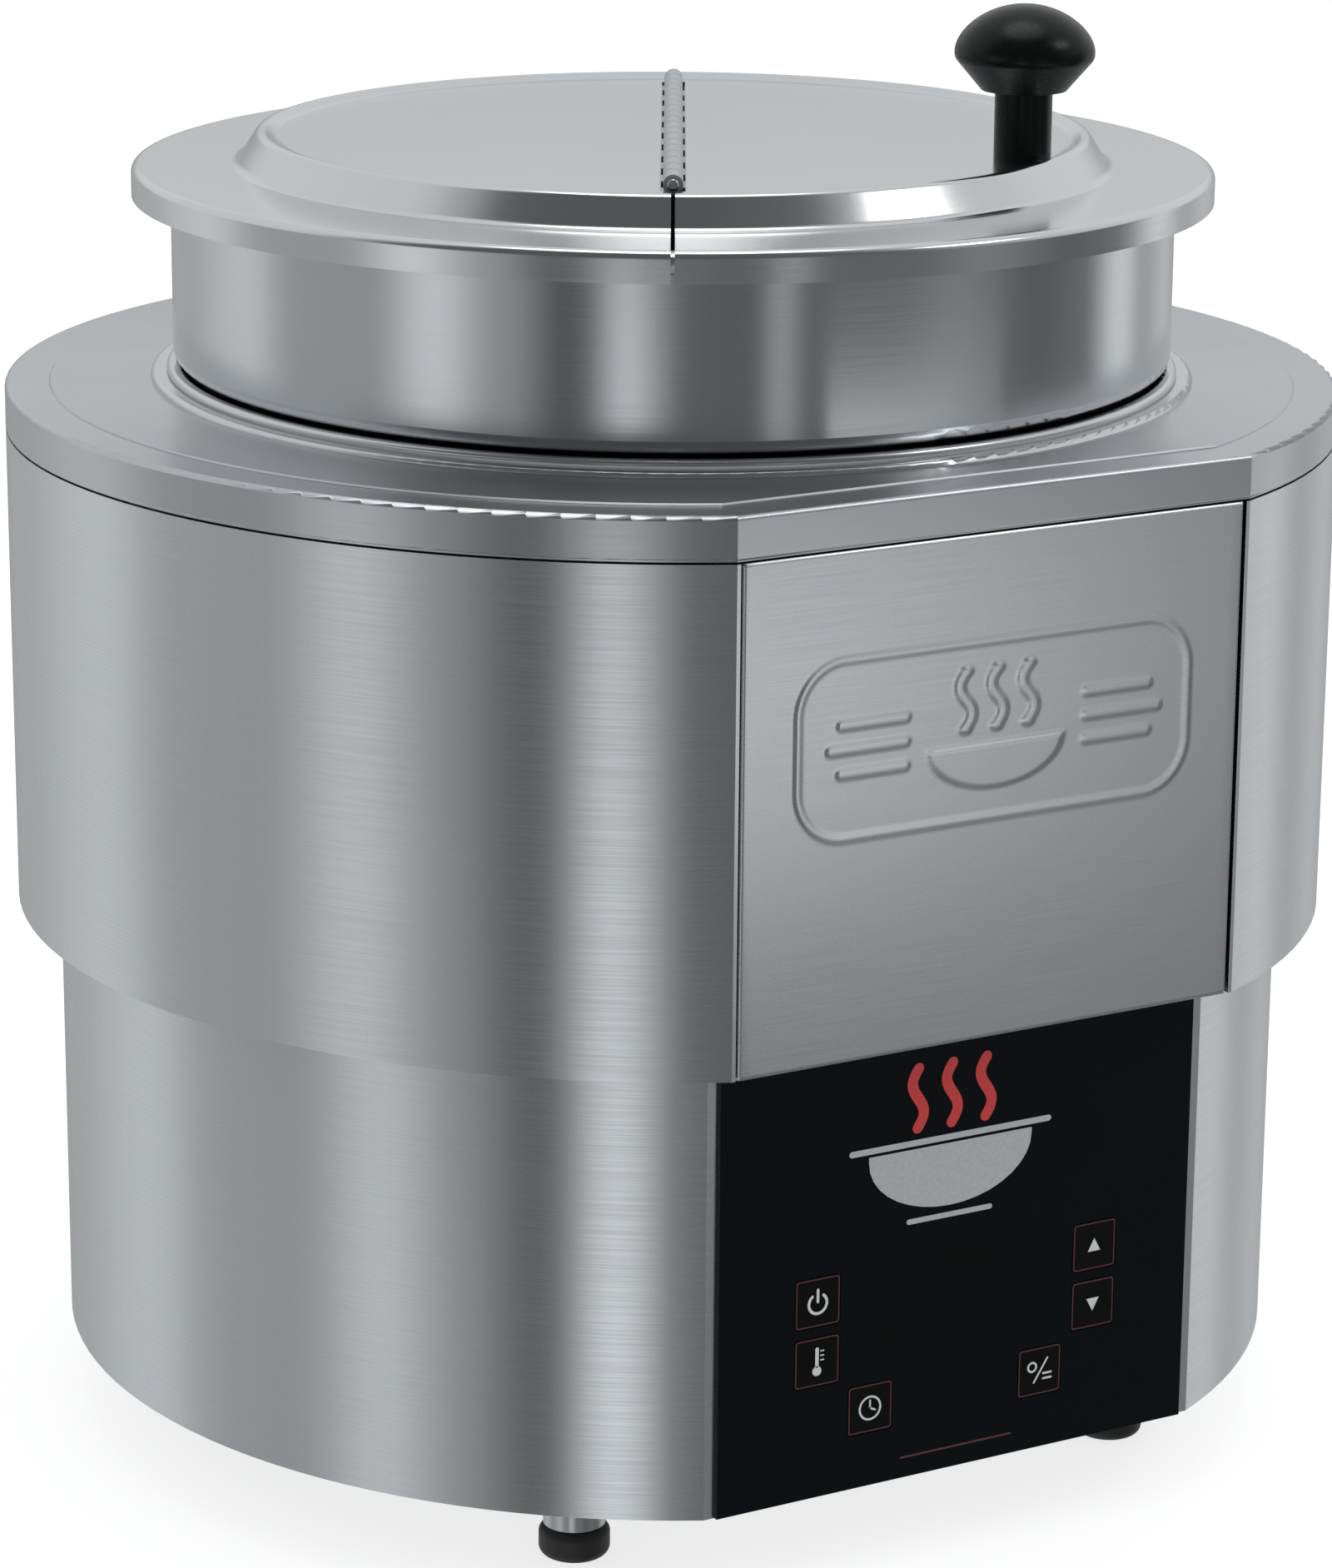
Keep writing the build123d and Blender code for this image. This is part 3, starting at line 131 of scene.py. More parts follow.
def area_light(name, place, target, size, power):
    data = bpy.data.lights.new(name, "AREA")
    data.shape = "ELLIPSE"
    data.size, data.size_y = size
    data.energy = power
    light = bpy.data.objects.new(name, data)
    bpy.context.scene.collection.objects.link(light)
    light.location = place
    light.rotation_mode = "QUATERNION"
    light.rotation_quaternion = (Vector(target) - Vector(place)).to_track_quat("-Z", "Y")
    return light


# Places of the Mix node's inputs: its share and the two things mixed, for numbers and for colours.
MIX_NUMBERS = (0, 2, 3)
MIX_COLOURS = (0, 6, 7)


class Nodes:
    """Short forms for wiring a node tree."""

    def __init__(self, tree):
        self.tree = tree

    def add(self, kind, **settings):
        node = self.tree.nodes.new(kind)
        for key, value in settings.items():
            setattr(node, key, value)
        return node

    def link(self, output, target):
        self.tree.links.new(output, target)

    def math(self, operation, *values):
        """A Math node: each value is a number or an output."""
        node = self.add("ShaderNodeMath", operation=operation)
        for i, value in enumerate(values):
            if isinstance(value, bpy.types.NodeSocket):
                self.link(value, node.inputs[i])
            else:
                node.inputs[i].default_value = value
        return node.outputs[0]

    def remap(self, value, low, high, to_low, to_high):
        """A smooth step from one range to another."""
        node = self.add("ShaderNodeMapRange", interpolation_type="SMOOTHSTEP")
        self.link(value, node.inputs["Value"])
        node.inputs["From Min"].default_value = low
        node.inputs["From Max"].default_value = high
        node.inputs["To Min"].default_value = to_low
        node.inputs["To Max"].default_value = to_high
        return node.outputs["Result"]

    def blend(self, share, first, second):
        """Mixes two numbers by a share from 0 to 1."""
        node = self.add("ShaderNodeMix", data_type="FLOAT")
        for i, value in zip(MIX_NUMBERS, (share, first, second)):
            socket = node.inputs[i]
            if isinstance(value, bpy.types.NodeSocket):
                self.link(value, socket)
            else:
                socket.default_value = value
        return node.outputs[0]

    def strips(self, turn, stops):
        """A ramp of brightness round the studio."""
        node = self.add("ShaderNodeValToRGB")
        ramp = node.color_ramp
        ramp.interpolation = "EASE"
        closing = (180, stops[0][1])
        wanted = [*stops, closing]
        while len(ramp.elements) < len(wanted):
            ramp.elements.new(0.5)
        for element, (angle, level) in zip(ramp.elements, wanted):
            element.position = (angle + 180) / 360
        for element, (angle, level) in zip(ramp.elements, wanted):
            element.color = (level, level, level, 1)
        self.link(turn, node.inputs[0])
        return node.outputs[0]


def make_world():
    """The studio's walls: strips of light and dark round the object, lighter above, white behind."""
    world = bpy.data.worlds.new("studio")
    bpy.context.scene.world = world
    world.use_nodes = True
    world.node_tree.nodes.clear()
    n = Nodes(world.node_tree)
    place = n.add("ShaderNodeTexCoord")
    split = n.add("ShaderNodeSeparateXYZ")
    n.link(place.outputs["Generated"], split.inputs[0])
    azimuth = n.math("ARCTAN2", split.outputs["Y"], split.outputs["X"])
    turn = n.math("SUBTRACT", n.math("DIVIDE", azimuth, 2 * math.pi), CAMERA_SIDE / 360)
    turn = n.math("FRACT", n.math("ADD", turn, HALF_ROUND_UP))
    low = n.strips(turn, LOW_STRIPS)
    high = n.strips(turn, HIGH_STRIPS)
    up = split.outputs["Z"]
    from_strip = n.math("ABSOLUTE", n.math("SUBTRACT", turn, (MAIN_STRIP_TURN + 180) / 360))
    strip = n.remap(from_strip, 0, MAIN_STRIP_HALF / 360, MAIN_STRIP_GLOW, 0)
    strip = n.math("MULTIPLY", strip, n.remap(up, MAIN_STRIP_FULL, MAIN_STRIP_WEAK, 1, MAIN_STRIP_REST))
    low = n.math("ADD", low, strip)
    walls = n.blend(n.remap(up, HIGH_FROM, HIGH_FULL, 0, 1), low, high)
    path = n.add("ShaderNodeLightPath")
    studio = n.blend(path.outputs["Is Diffuse Ray"], walls, ROOM_LIGHT)
    studio = n.blend(path.outputs["Is Camera Ray"], studio, BACKDROP_WHITE)
    background = n.add("ShaderNodeBackground")
    background.inputs["Color"].default_value = (*STUDIO_TINT, 1)
    n.link(studio, background.inputs["Strength"])
    n.link(background.outputs[0], n.add("ShaderNodeOutputWorld").inputs[0])


def make_floor():
    """A pale floor with a faint glow of its own, so that only soft shadows show on it."""
    mesh = bpy.data.meshes.new("floor")
    shape = bmesh.new()
    bmesh.ops.create_circle(shape, cap_ends=True, segments=FLOOR_SEGMENTS, radius=FLOOR_RADIUS)
    shape.to_mesh(mesh)
    shape.free()
    floor = bpy.data.objects.new("floor", mesh)
    bpy.context.scene.collection.objects.link(floor)
    material = bpy.data.materials.new("pale_floor")
    material.use_nodes = True
    bsdf = material.node_tree.nodes["Principled BSDF"]
    bsdf.inputs["Base Color"].default_value = (FLOOR_TONE, FLOOR_TONE, FLOOR_TONE, 1)
    bsdf.inputs["Roughness"].default_value = FLOOR_ROUGHNESS
    bsdf.inputs["Specular IOR Level"].default_value = 0.0
    bsdf.inputs["Emission Color"].default_value = (1, 1, 1, 1)
    bsdf.inputs["Emission Strength"].default_value = FLOOR_GLOW
    mesh.materials.append(material)
    floor.visible_glossy = False


def make_card():
    """The strip of light in front of the panel, seen only in reflections."""
    mesh = bpy.data.meshes.new("low_card")
    x, y, z = CARD_PLACE
    half_x, half_z = CARD_HALF
    corners = [(x + side_x * half_x, y, z + side_z * half_z) for side_x, side_z in
               ((1, -1), (-1, -1), (-1, 1), (1, 1))]
    mesh.from_pydata(corners, [], [(0, 1, 2, 3)])
    card = bpy.data.objects.new("low_card", mesh)
    bpy.context.scene.collection.objects.link(card)
    material = bpy.data.materials.new("card_glow")
    material.use_nodes = True
    material.node_tree.nodes.clear()
    n = Nodes(material.node_tree)
    split = n.add("ShaderNodeSeparateXYZ")
    n.link(n.add("ShaderNodeTexCoord").outputs["Object"], split.inputs[0])
    glow = n.remap(split.outputs["X"], x - half_x, x + half_x, *CARD_LEVELS)
    emission = n.add("ShaderNodeEmission")
    emission.inputs["Color"].default_value = (*STUDIO_TINT, 1)
    n.link(glow, emission.inputs["Strength"])
    n.link(emission.outputs[0], n.add("ShaderNodeOutputMaterial").inputs[0])
    mesh.materials.append(material)
    card.visible_camera = False
    card.visible_diffuse = False
    card.visible_shadow = False


def make_studio():
    lid_top = Vector((AXIS.x, AXIS.y, LID_TOP))
    key_place = lid_top + direction(KEY_TURN, KEY_HEIGHT) * KEY_DISTANCE
    area_light("key_softbox", key_place, lid_top, KEY_SIZE, KEY_POWER)
    top_place = lid_top + Vector((0, 0, TOP_HEIGHT))
    area_light("top_softbox", top_place, lid_top, (TOP_SIZE, TOP_SIZE), TOP_POWER)
    make_world()
    make_floor()
    make_card()
    bpy.context.scene.view_settings.view_transform = "Standard"


# --- materials ------------------------------------------------------------------------------------
MID_BAND = (0.25, 0.75)          # the part of a noise's range that a steel's roughness follows
SOFT_BAND = (0.3, 0.7)           # and a plastic's
METRES_PER_RADIAN = 0.01         # so small that a lathe's grain hardly changes round the axis
CLOUD_SCALE = 9.0                # the slow drift of tone over a sheet
CLOUD_DARK = 0.93
GRAIN_DETAIL = 3.0
UPRIGHT_TURN = 0.25              # of a full turn, which lays the gloss up and down
PLASTIC_CLOUD = 60
PLASTIC_GRAIN = 900
PLASTIC_DEPTH = 0.01 * MM
PLASTIC_SPREAD = 0.05
FILM_CLOUD = 40
FILM_PEEL = 260
FILM_DEPTH = 0.003 * MM
FILM_SPREAD = 0.03
FILM_GLOSS = 0.15
FIBRE_DRAWN_OUT = 0.3            # share of the scale along the fibres
FIBRE_DETAIL = 4.0
INK_ROUGHNESS = 0.45
INK_MOTTLE = 900


def material_nodes(name, colour, roughness, metallic=0.0):
    """A new material with its Principled shader, ready for detail."""
    material = bpy.data.materials.new(name)
    material.use_nodes = True
    n = Nodes(material.node_tree)
    bsdf = material.node_tree.nodes["Principled BSDF"]
    bsdf.inputs["Base Color"].default_value = (*colour, 1)
    bsdf.inputs["Metallic"].default_value = metallic
    bsdf.inputs["Roughness"].default_value = roughness
    return material, n, bsdf


def noise(n, vector, scale, detail=2.0):
    """Smooth noise from 0 to 1."""
    node = n.add("ShaderNodeTexNoise")
    node.inputs["Scale"].default_value = scale
    node.inputs["Detail"].default_value = detail
    n.link(vector, node.inputs["Vector"])
    return node.outputs["Fac"]


def stretched(n, vector, scale):
    """Coordinates drawn out so that a noise becomes a grain."""
    node = n.add("ShaderNodeMapping")
    node.inputs["Scale"].default_value = scale
    n.link(vector, node.inputs["Vector"])
    return node.outputs[0]


def object_place(n):
    """A place on the object, in metres."""
    return n.add("ShaderNodeTexCoord").outputs["Object"]


def round_place(n):
    """Distance from the well's axis, turn about it and height, for a grain left by a lathe."""
    split = n.add("ShaderNodeSeparateXYZ")
    n.link(object_place(n), split.inputs[0])
    y = n.math("SUBTRACT", split.outputs["Y"], AXIS.y)
    x = split.outputs["X"]
    reach = n.math("SQRT", n.math("ADD", n.math("MULTIPLY", x, x), n.math("MULTIPLY", y, y)))
    join = n.add("ShaderNodeCombineXYZ")
    n.link(reach, join.inputs[0])
    n.link(n.math("MULTIPLY", n.math("ARCTAN2", y, x), METRES_PER_RADIAN), join.inputs[1])
    n.link(split.outputs["Z"], join.inputs[2])
    return join.outputs[0]


def tint(n, bsdf, value, dark, light):
    """Colour that drifts between two tones."""
    node = n.add("ShaderNodeMix", data_type="RGBA")
    share, first, second = (node.inputs[i] for i in MIX_COLOURS)
    n.link(value, share)
    first.default_value = (*dark, 1)
    second.default_value = (*light, 1)
    n.link(node.outputs[2], bsdf.inputs["Base Color"])


def bump(n, bsdf, value, depth):
    """Fine relief too small for geometry."""
    node = n.add("ShaderNodeBump")
    node.inputs["Distance"].default_value = depth
    node.inputs["Strength"].default_value = 1.0
    n.link(value, node.inputs["Height"])
    n.link(node.outputs[0], bsdf.inputs["Normal"])


def steel(name, tone, roughness, anisotropy, grain, place=object_place, upright=True, depth=0.0015 * MM,
          spread=0.03):
    """Stainless steel with a directional grain. Along an upright wall the gloss spreads up and down."""
    dark = tuple(CLOUD_DARK * part for part in tone)
    material, n, bsdf = material_nodes(name, tone, roughness, 1.0)
    where = place(n)
    fine = noise(n, stretched(n, where, grain), 1.0, GRAIN_DETAIL)
    cloud = noise(n, where, CLOUD_SCALE)
    tint(n, bsdf, cloud, dark, tone)
    n.link(n.remap(fine, *MID_BAND, roughness - spread, roughness + spread), bsdf.inputs["Roughness"])
    bsdf.inputs["Anisotropic"].default_value = anisotropy
    tangent = n.add("ShaderNodeTangent", direction_type="RADIAL", axis="Z")
    n.link(tangent.outputs[0], bsdf.inputs["Tangent"])
    bsdf.inputs["Anisotropic Rotation"].default_value = UPRIGHT_TURN if upright else 0.0
    bump(n, bsdf, fine, depth)
    return material


ALONG_WALL = (30, 30, 2600)      # grain lines run round the casing
ALONG_TOP = (30, 2600, 30)       # and across a level sheet
LATHE = (2200, 60, 2200)         # turned pieces have rings


def moulding(name, dark, light, roughness, gloss=0.5):
    """Moulded plastic with a faint texture."""
    material, n, bsdf = material_nodes(name, light, roughness)
    bsdf.inputs["Specular IOR Level"].default_value = gloss
    where = object_place(n)
    tint(n, bsdf, noise(n, where, PLASTIC_CLOUD), dark, light)
    fine = noise(n, where, PLASTIC_GRAIN, GRAIN_DETAIL)
    uneven = n.remap(fine, *SOFT_BAND, roughness - PLASTIC_SPREAD, roughness + PLASTIC_SPREAD)
    n.link(uneven, bsdf.inputs["Roughness"])
    bump(n, bsdf, fine, PLASTIC_DEPTH)
    return material


def fibrous(name, dark, light, roughness, scale=700, depth=0.4 * MM):
    """Glass wool and mica: matt, uneven and drawn out one way."""
    material, n, bsdf = material_nodes(name, light, roughness)
    where = object_place(n)
    fibre = noise(n, stretched(n, where, (scale, scale * FIBRE_DRAWN_OUT, scale)), 1.0, FIBRE_DETAIL)
    tint(n, bsdf, fibre, dark, light)
    bump(n, bsdf, fibre, depth)
    return material


def overlay_film(name, dark, light, roughness):
    """Printed polyester film: black, glossy, with a slight orange peel."""
    material, n, bsdf = material_nodes(name, light, roughness)
    bsdf.inputs["Specular IOR Level"].default_value = FILM_GLOSS
    where = object_place(n)
    tint(n, bsdf, noise(n, where, FILM_CLOUD), dark, light)
    peel = noise(n, where, FILM_PEEL)
    uneven = n.remap(peel, *SOFT_BAND, roughness - FILM_SPREAD, roughness + FILM_SPREAD)
    n.link(uneven, bsdf.inputs["Roughness"])
    bump(n, bsdf, peel, FILM_DEPTH)
    return material


def ink(name, dark, light):
    """Screen-printed ink with a faint mottle."""
    material, n, bsdf = material_nodes(name, light, INK_ROUGHNESS)
    tint(n, bsdf, noise(n, object_place(n), INK_MOTTLE, GRAIN_DETAIL), dark, light)
    return material


STEEL_TONE = (0.62, 0.635, 0.65)
MATERIALS = {
    "brushed_steel": steel("brushed_steel", STEEL_TONE, 0.28, 0.85, ALONG_WALL),
    "polished_steel": steel("polished_steel", (0.62, 0.63, 0.64), 0.22, 0.2, LATHE, round_place,
                            depth=0.0003 * MM, spread=0.02),
    "pan_steel": steel("pan_steel", (0.60, 0.615, 0.63), 0.18, 0.7, ALONG_WALL,
                       depth=0.001 * MM, spread=0.02),
    "lid_steel": steel("lid_steel", (0.66, 0.67, 0.68), 0.17, 0.3, LATHE, round_place, upright=False,
                       depth=0.0003 * MM, spread=0.02),
    "satin_steel": steel("satin_steel", (0.55, 0.56, 0.57), 0.35, 0.3, ALONG_WALL),
    "bright_steel": steel("bright_steel", (0.62, 0.62, 0.63), 0.2, 0.0, ALONG_TOP),
    "galvanised_sheet": steel("galvanised_sheet", (0.52, 0.54, 0.55), 0.42, 0.0, (160, 160, 160),
                              depth=0.01 * MM, spread=0.12),
    "aluminium_sheet": steel("aluminium_sheet", (0.72, 0.73, 0.74), 0.34, 0.3, ALONG_TOP),
    "brass": steel("brass", (0.72, 0.53, 0.24), 0.28, 0.2, LATHE),
    "black_rubber": moulding("black_rubber", (0.006, 0.006, 0.006), (0.014, 0.014, 0.014), 0.55),
    "grey_silicone": moulding("grey_silicone", (0.30, 0.30, 0.30), (0.38, 0.38, 0.38), 0.6),
    "black_knob": moulding("black_knob", (0.0010, 0.0018, 0.0018), (0.0020, 0.0032, 0.0032), 0.28, 0.2),
    "dark_moulding": moulding("dark_moulding", (0.018, 0.018, 0.020), (0.035, 0.035, 0.038), 0.5),
    "white_moulding": moulding("white_moulding", (0.70, 0.70, 0.66), (0.80, 0.80, 0.77), 0.5),
    "circuit_board": moulding("circuit_board", (0.01, 0.09, 0.04), (0.02, 0.14, 0.06), 0.4),
    "mica_heater": fibrous("mica_heater", (0.22, 0.17, 0.11), (0.42, 0.35, 0.25), 0.6, 260, 0.05 * MM),
    "glass_wool": fibrous("glass_wool", (0.55, 0.50, 0.34), (0.85, 0.80, 0.62), 0.95),
    "black_overlay": overlay_film("black_overlay",
                                  (0.0008, 0.0018, 0.0028), (0.0012, 0.0026, 0.0038), 0.24),
    "key_face": overlay_film("key_face", (0.0016, 0.0017, 0.0018), (0.0026, 0.0026, 0.0028), 0.28),
    "display_tint": overlay_film("display_tint",
                                 (0.0008, 0.0016, 0.0016), (0.0012, 0.0024, 0.0026), 0.14),
}
# A darker copy of the steel for the cover's level sheets, skirt and hem: its lower tone is painted shade
# that darkens the level top.
SHADED_COVER_STEEL = steel("cover_steel_painted_shade", (0.52, 0.535, 0.55), 0.30, 0.65, ALONG_WALL,
                    depth=0.0008 * MM, spread=0.02)
WHITE_INK = ink("white_ink", (0.34, 0.35, 0.36), (0.50, 0.52, 0.53))
SILVER_INK = ink("silver_ink", (0.24, 0.25, 0.26), (0.34, 0.35, 0.36))
RED_INK = ink("red_ink", (0.34, 0.010, 0.012), (0.48, 0.022, 0.022))
LINE_INK = ink("line_ink", (0.055, 0.012, 0.014), (0.10, 0.024, 0.026))


def paint_frame():
    """Gives each CAD node the material of its slot, and the level sheets a darker copy of the steel whose
    lower tone is painted shade.
    """
    for part in frame["record"]["subparts"]:
        mesh = frame["nodes"][part["node"]].data
        mesh.materials.clear()
        mesh.materials.append(MATERIALS[part["material_slot"]])
    # The level sheets take the darker steel, a painted shade.
    for node in ("top_cover", "step_ring"):
        frame["nodes"][node].data.materials[0] = SHADED_COVER_STEEL


# --- embossed front panel -------------------------------------------------------------------------
PANEL_LOW, PANEL_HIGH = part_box("front_panel")
EMBOSS_RISE = 0.8 * MM           # the CAD panel's raised badge stands this far out
PANEL_BEND = 1.0 * MM
PANEL_SHEET = 1.0 * MM
BADGE_CENTRE_Z = 222 * MM
BADGE_HALF = (56 * MM, 22 * MM)
BADGE_CORNER = 13 * MM
BADGE_STEP = 0.45 * MM           # mesh spacing over the badge
BADGE_MARGIN = 61 * MM           # half the width of the finely meshed area
BADGE_BAND = 26 * MM             # and half its height
BEND_STEPS = 6
FACE_EDGE = 4 * MM               # from the panel's side to the first row on its face
EDGE_ROW = 1 * MM                # from its top and bottom to the next row
BADGE_SOFTNESS = 1.7 * MM


def smooth_step(value, edge):
    """1 inside, 0 outside, eased over the edge: value is the distance outside the shape."""
    share = np.clip(0.5 - value / edge, 0, 1)
    return share * share * (3 - 2 * share)


def rounded_box_distance(x, z, half_x, half_z, corner):
    outside_x = np.abs(x) - half_x + corner
    outside_z = np.abs(z) - half_z + corner
    return (np.hypot(np.maximum(outside_x, 0), np.maximum(outside_z, 0))
            + np.minimum(np.maximum(outside_x, outside_z), 0) - corner)


def segment_distance(x, z, start, end):
    """Distance from a straight stroke's middle line."""
    along = np.array(end) - np.array(start)
    share = np.clip(((x - start[0]) * along[0] + (z - start[1]) * along[1]) / (along @ along), 0, 1)
    return np.hypot(x - start[0] - share * along[0], z - start[1] - share * along[1])


def steam_distance(x, z, centre, bottom, top, sway):
    """Distance from the middle line of an S-shaped wisp of steam."""
    height = top - bottom
    level = np.clip(z, bottom, top)
    middle = centre + sway * np.sin(2 * math.pi * (level - bottom) / height)
    slope = sway * 2 * math.pi / height * np.cos(2 * math.pi * (level - bottom) / height)
    return np.hypot((x - middle) / np.sqrt(1 + slope ** 2), z - level)


# The embossing's shapes, about its centre. A level is a share of EMBOSS_RISE.
RIM_HALF_LINE, RIM_LEVEL = 0.9 * MM, 0.4
BOWL_TOP = -3.5 * MM
BOWL_DEPTH = 11 * MM
BOWL_STRETCH = 1.75              # half width over depth
BOWL_LEVEL = 0.7
STEAM_CENTRES = (-9 * MM, 0.0, 9 * MM)
STEAM_BOTTOM, STEAM_TOP = 1 * MM, 15 * MM
STEAM_SWAY = 1.8 * MM
STEAM_HALF_LINE, STEAM_LEVEL = 1.3 * MM, 0.65
BAR_START = 26 * MM
BARS = ((6 * MM, 44 * MM), (0, 47 * MM), (-6 * MM, 44 * MM))     # height and end of each
BAR_HALF_LINE, BAR_LEVEL = 1.2 * MM, 0.5


def badge_rise(x, z):
    """Height of the embossing at a place on the panel: a rim, a bowl, its steam and side bars."""
    z = z - BADGE_CENTRE_Z
    rim = np.abs(rounded_box_distance(x, z, *BADGE_HALF, BADGE_CORNER)) - RIM_HALF_LINE
    height = RIM_LEVEL * smooth_step(rim, BADGE_SOFTNESS)
    bowl = np.maximum(np.hypot(x / BOWL_STRETCH, z - BOWL_TOP) - BOWL_DEPTH, z - BOWL_TOP)
    height = np.maximum(height, BOWL_LEVEL * smooth_step(bowl, BADGE_SOFTNESS))
    for centre in STEAM_CENTRES:
        wisp = steam_distance(x, z, centre, STEAM_BOTTOM, STEAM_TOP, STEAM_SWAY) - STEAM_HALF_LINE
        height = np.maximum(height, STEAM_LEVEL * smooth_step(wisp, BADGE_SOFTNESS))
    for side in (-1, 1):
        for level, end in BARS:
            bar = segment_distance(x, z, (side * BAR_START, level), (side * end, level)) - BAR_HALF_LINE
            height = np.maximum(height, BAR_LEVEL * smooth_step(bar, BADGE_SOFTNESS))
    return EMBOSS_RISE * height


def panel_outline():
    """The panel's level section: folds, rounded corners and face, as (x, y, is on the face)."""
    front = PANEL_LOW.y + EMBOSS_RISE
    back = PANEL_HIGH.y
    half = PANEL_HIGH.x
    arc = [math.radians(90 * i / BEND_STEPS) for i in range(BEND_STEPS + 1)]
    left = [(-half, back, False), (-half, front + 2 * PANEL_BEND, False)]
    left += [(-half + PANEL_BEND * (1 - math.cos(a)), front + PANEL_BEND * (1 - math.sin(a)), False)
             for a in arc]
    fine = np.arange(-BADGE_MARGIN, BADGE_MARGIN + BADGE_STEP / 2, BADGE_STEP)
    face = [(-half + FACE_EDGE, front, True)]
    face += [(float(x), front, True) for x in fine]
    face += [(half - FACE_EDGE, front, True)]
    right = [(-x, y, on_face) for x, y, on_face in reversed(left)]
    return left + face + right


def make_front_panel():
    """The panel as one pressed sheet: its level section at each height, with the badge raised on it."""
    outline = panel_outline()
    low, high = BADGE_CENTRE_Z - BADGE_BAND, BADGE_CENTRE_Z + BADGE_BAND
    levels = [PANEL_LOW.z, PANEL_LOW.z + EDGE_ROW, (PANEL_LOW.z + low) / 2]
    levels += [float(z) for z in np.arange(low, high, BADGE_STEP)]
    levels += [PANEL_HIGH.z - EDGE_ROW, PANEL_HIGH.z]
    x = np.array([point[0] for point in outline])
    y = np.array([point[1] for point in outline])
    on_face = np.array([point[2] for point in outline])
    vertices = []
    for z in levels:
        rise = badge_rise(x, np.full_like(x, z)) * on_face
        vertices += [(px, py - pr, z) for px, py, pr in zip(x, y, rise)]
    count = len(outline)
    faces = [(row * count + i, row * count + i + 1, (row + 1) * count + i + 1, (row + 1) * count + i)
             for row in range(len(levels) - 1) for i in range(count - 1)]
    mesh = bpy.data.meshes.new("front_panel_pressed")
    mesh.from_pydata(vertices, [], faces)
    mesh.polygons.foreach_set("use_smooth", [True] * len(mesh.polygons))
    panel = bpy.data.objects.new("front_panel_pressed", mesh)
    bpy.context.scene.collection.objects.link(panel)
    solid = panel.modifiers.new("sheet", "SOLIDIFY")
    solid.thickness = PANEL_SHEET
    solid.offset = -1
    mesh.materials.append(MATERIALS["brushed_steel"])
    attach(panel, "housing")
    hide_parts("front_panel")


# --- the cover's hem ------------------------------------------------------------------------------
COVER_LOW, COVER_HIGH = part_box("top_cover")
HEM_RADIUS = 0.45 * MM
HEM_INSET = 0.35 * MM            # its middle line, in from the skirt's face


def skirt_outline(inset, steps=160):
    """Level outline of the cover's skirt: a circle cut by the flat front."""
    radius = (COVER_HIGH.x - COVER_LOW.x) / 2 - inset
    flat = AXIS.y - COVER_LOW.y - inset
    half_cut = math.acos(flat / radius)
    start = half_cut - math.pi / 2
    sweep = 2 * (math.pi - half_cut)
    turns = [start + sweep * i / steps for i in range(steps + 1)]
    return [(AXIS.x + radius * math.cos(t), AXIS.y + radius * math.sin(t)) for t in turns]


def make_hem():
    """A fine rolled edge along the bottom of the cover's skirt."""
    outline = skirt_outline(HEM_INSET)
    curve = bpy.data.curves.new("cover_hem", "CURVE")
    curve.dimensions = "3D"
    curve.bevel_depth = HEM_RADIUS
    curve.bevel_resolution = 2
    spline = curve.splines.new("POLY")
    spline.points.add(len(outline) - 1)
    for point, (x, y) in zip(spline.points, outline):
        point.co = (x, y, COVER_LOW.z + HEM_RADIUS, 1)
    spline.use_cyclic_u = True
    shaped = bpy.data.objects.new("hem_path", curve)
    mesh = bpy.data.meshes.new_from_object(shaped)
    bpy.data.objects.remove(shaped)
    mesh.name = "cover_hem"
    mesh.polygons.foreach_set("use_smooth", [True] * len(mesh.polygons))
    mesh.materials.clear()
    mesh.materials.append(SHADED_COVER_STEEL)
    hem = bpy.data.objects.new("cover_hem", mesh)
    bpy.context.scene.collection.objects.link(hem)
    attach(hem, "housing")


# --- printing -------------------------------------------------------------------------------------
PRINT_LIFT = 0.06 * MM           # ink stands this far out of the film
PRINT_ROOT = 0.02 * MM           # and reaches this far into it
OVERLAY_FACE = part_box("control_overlay")[0].y


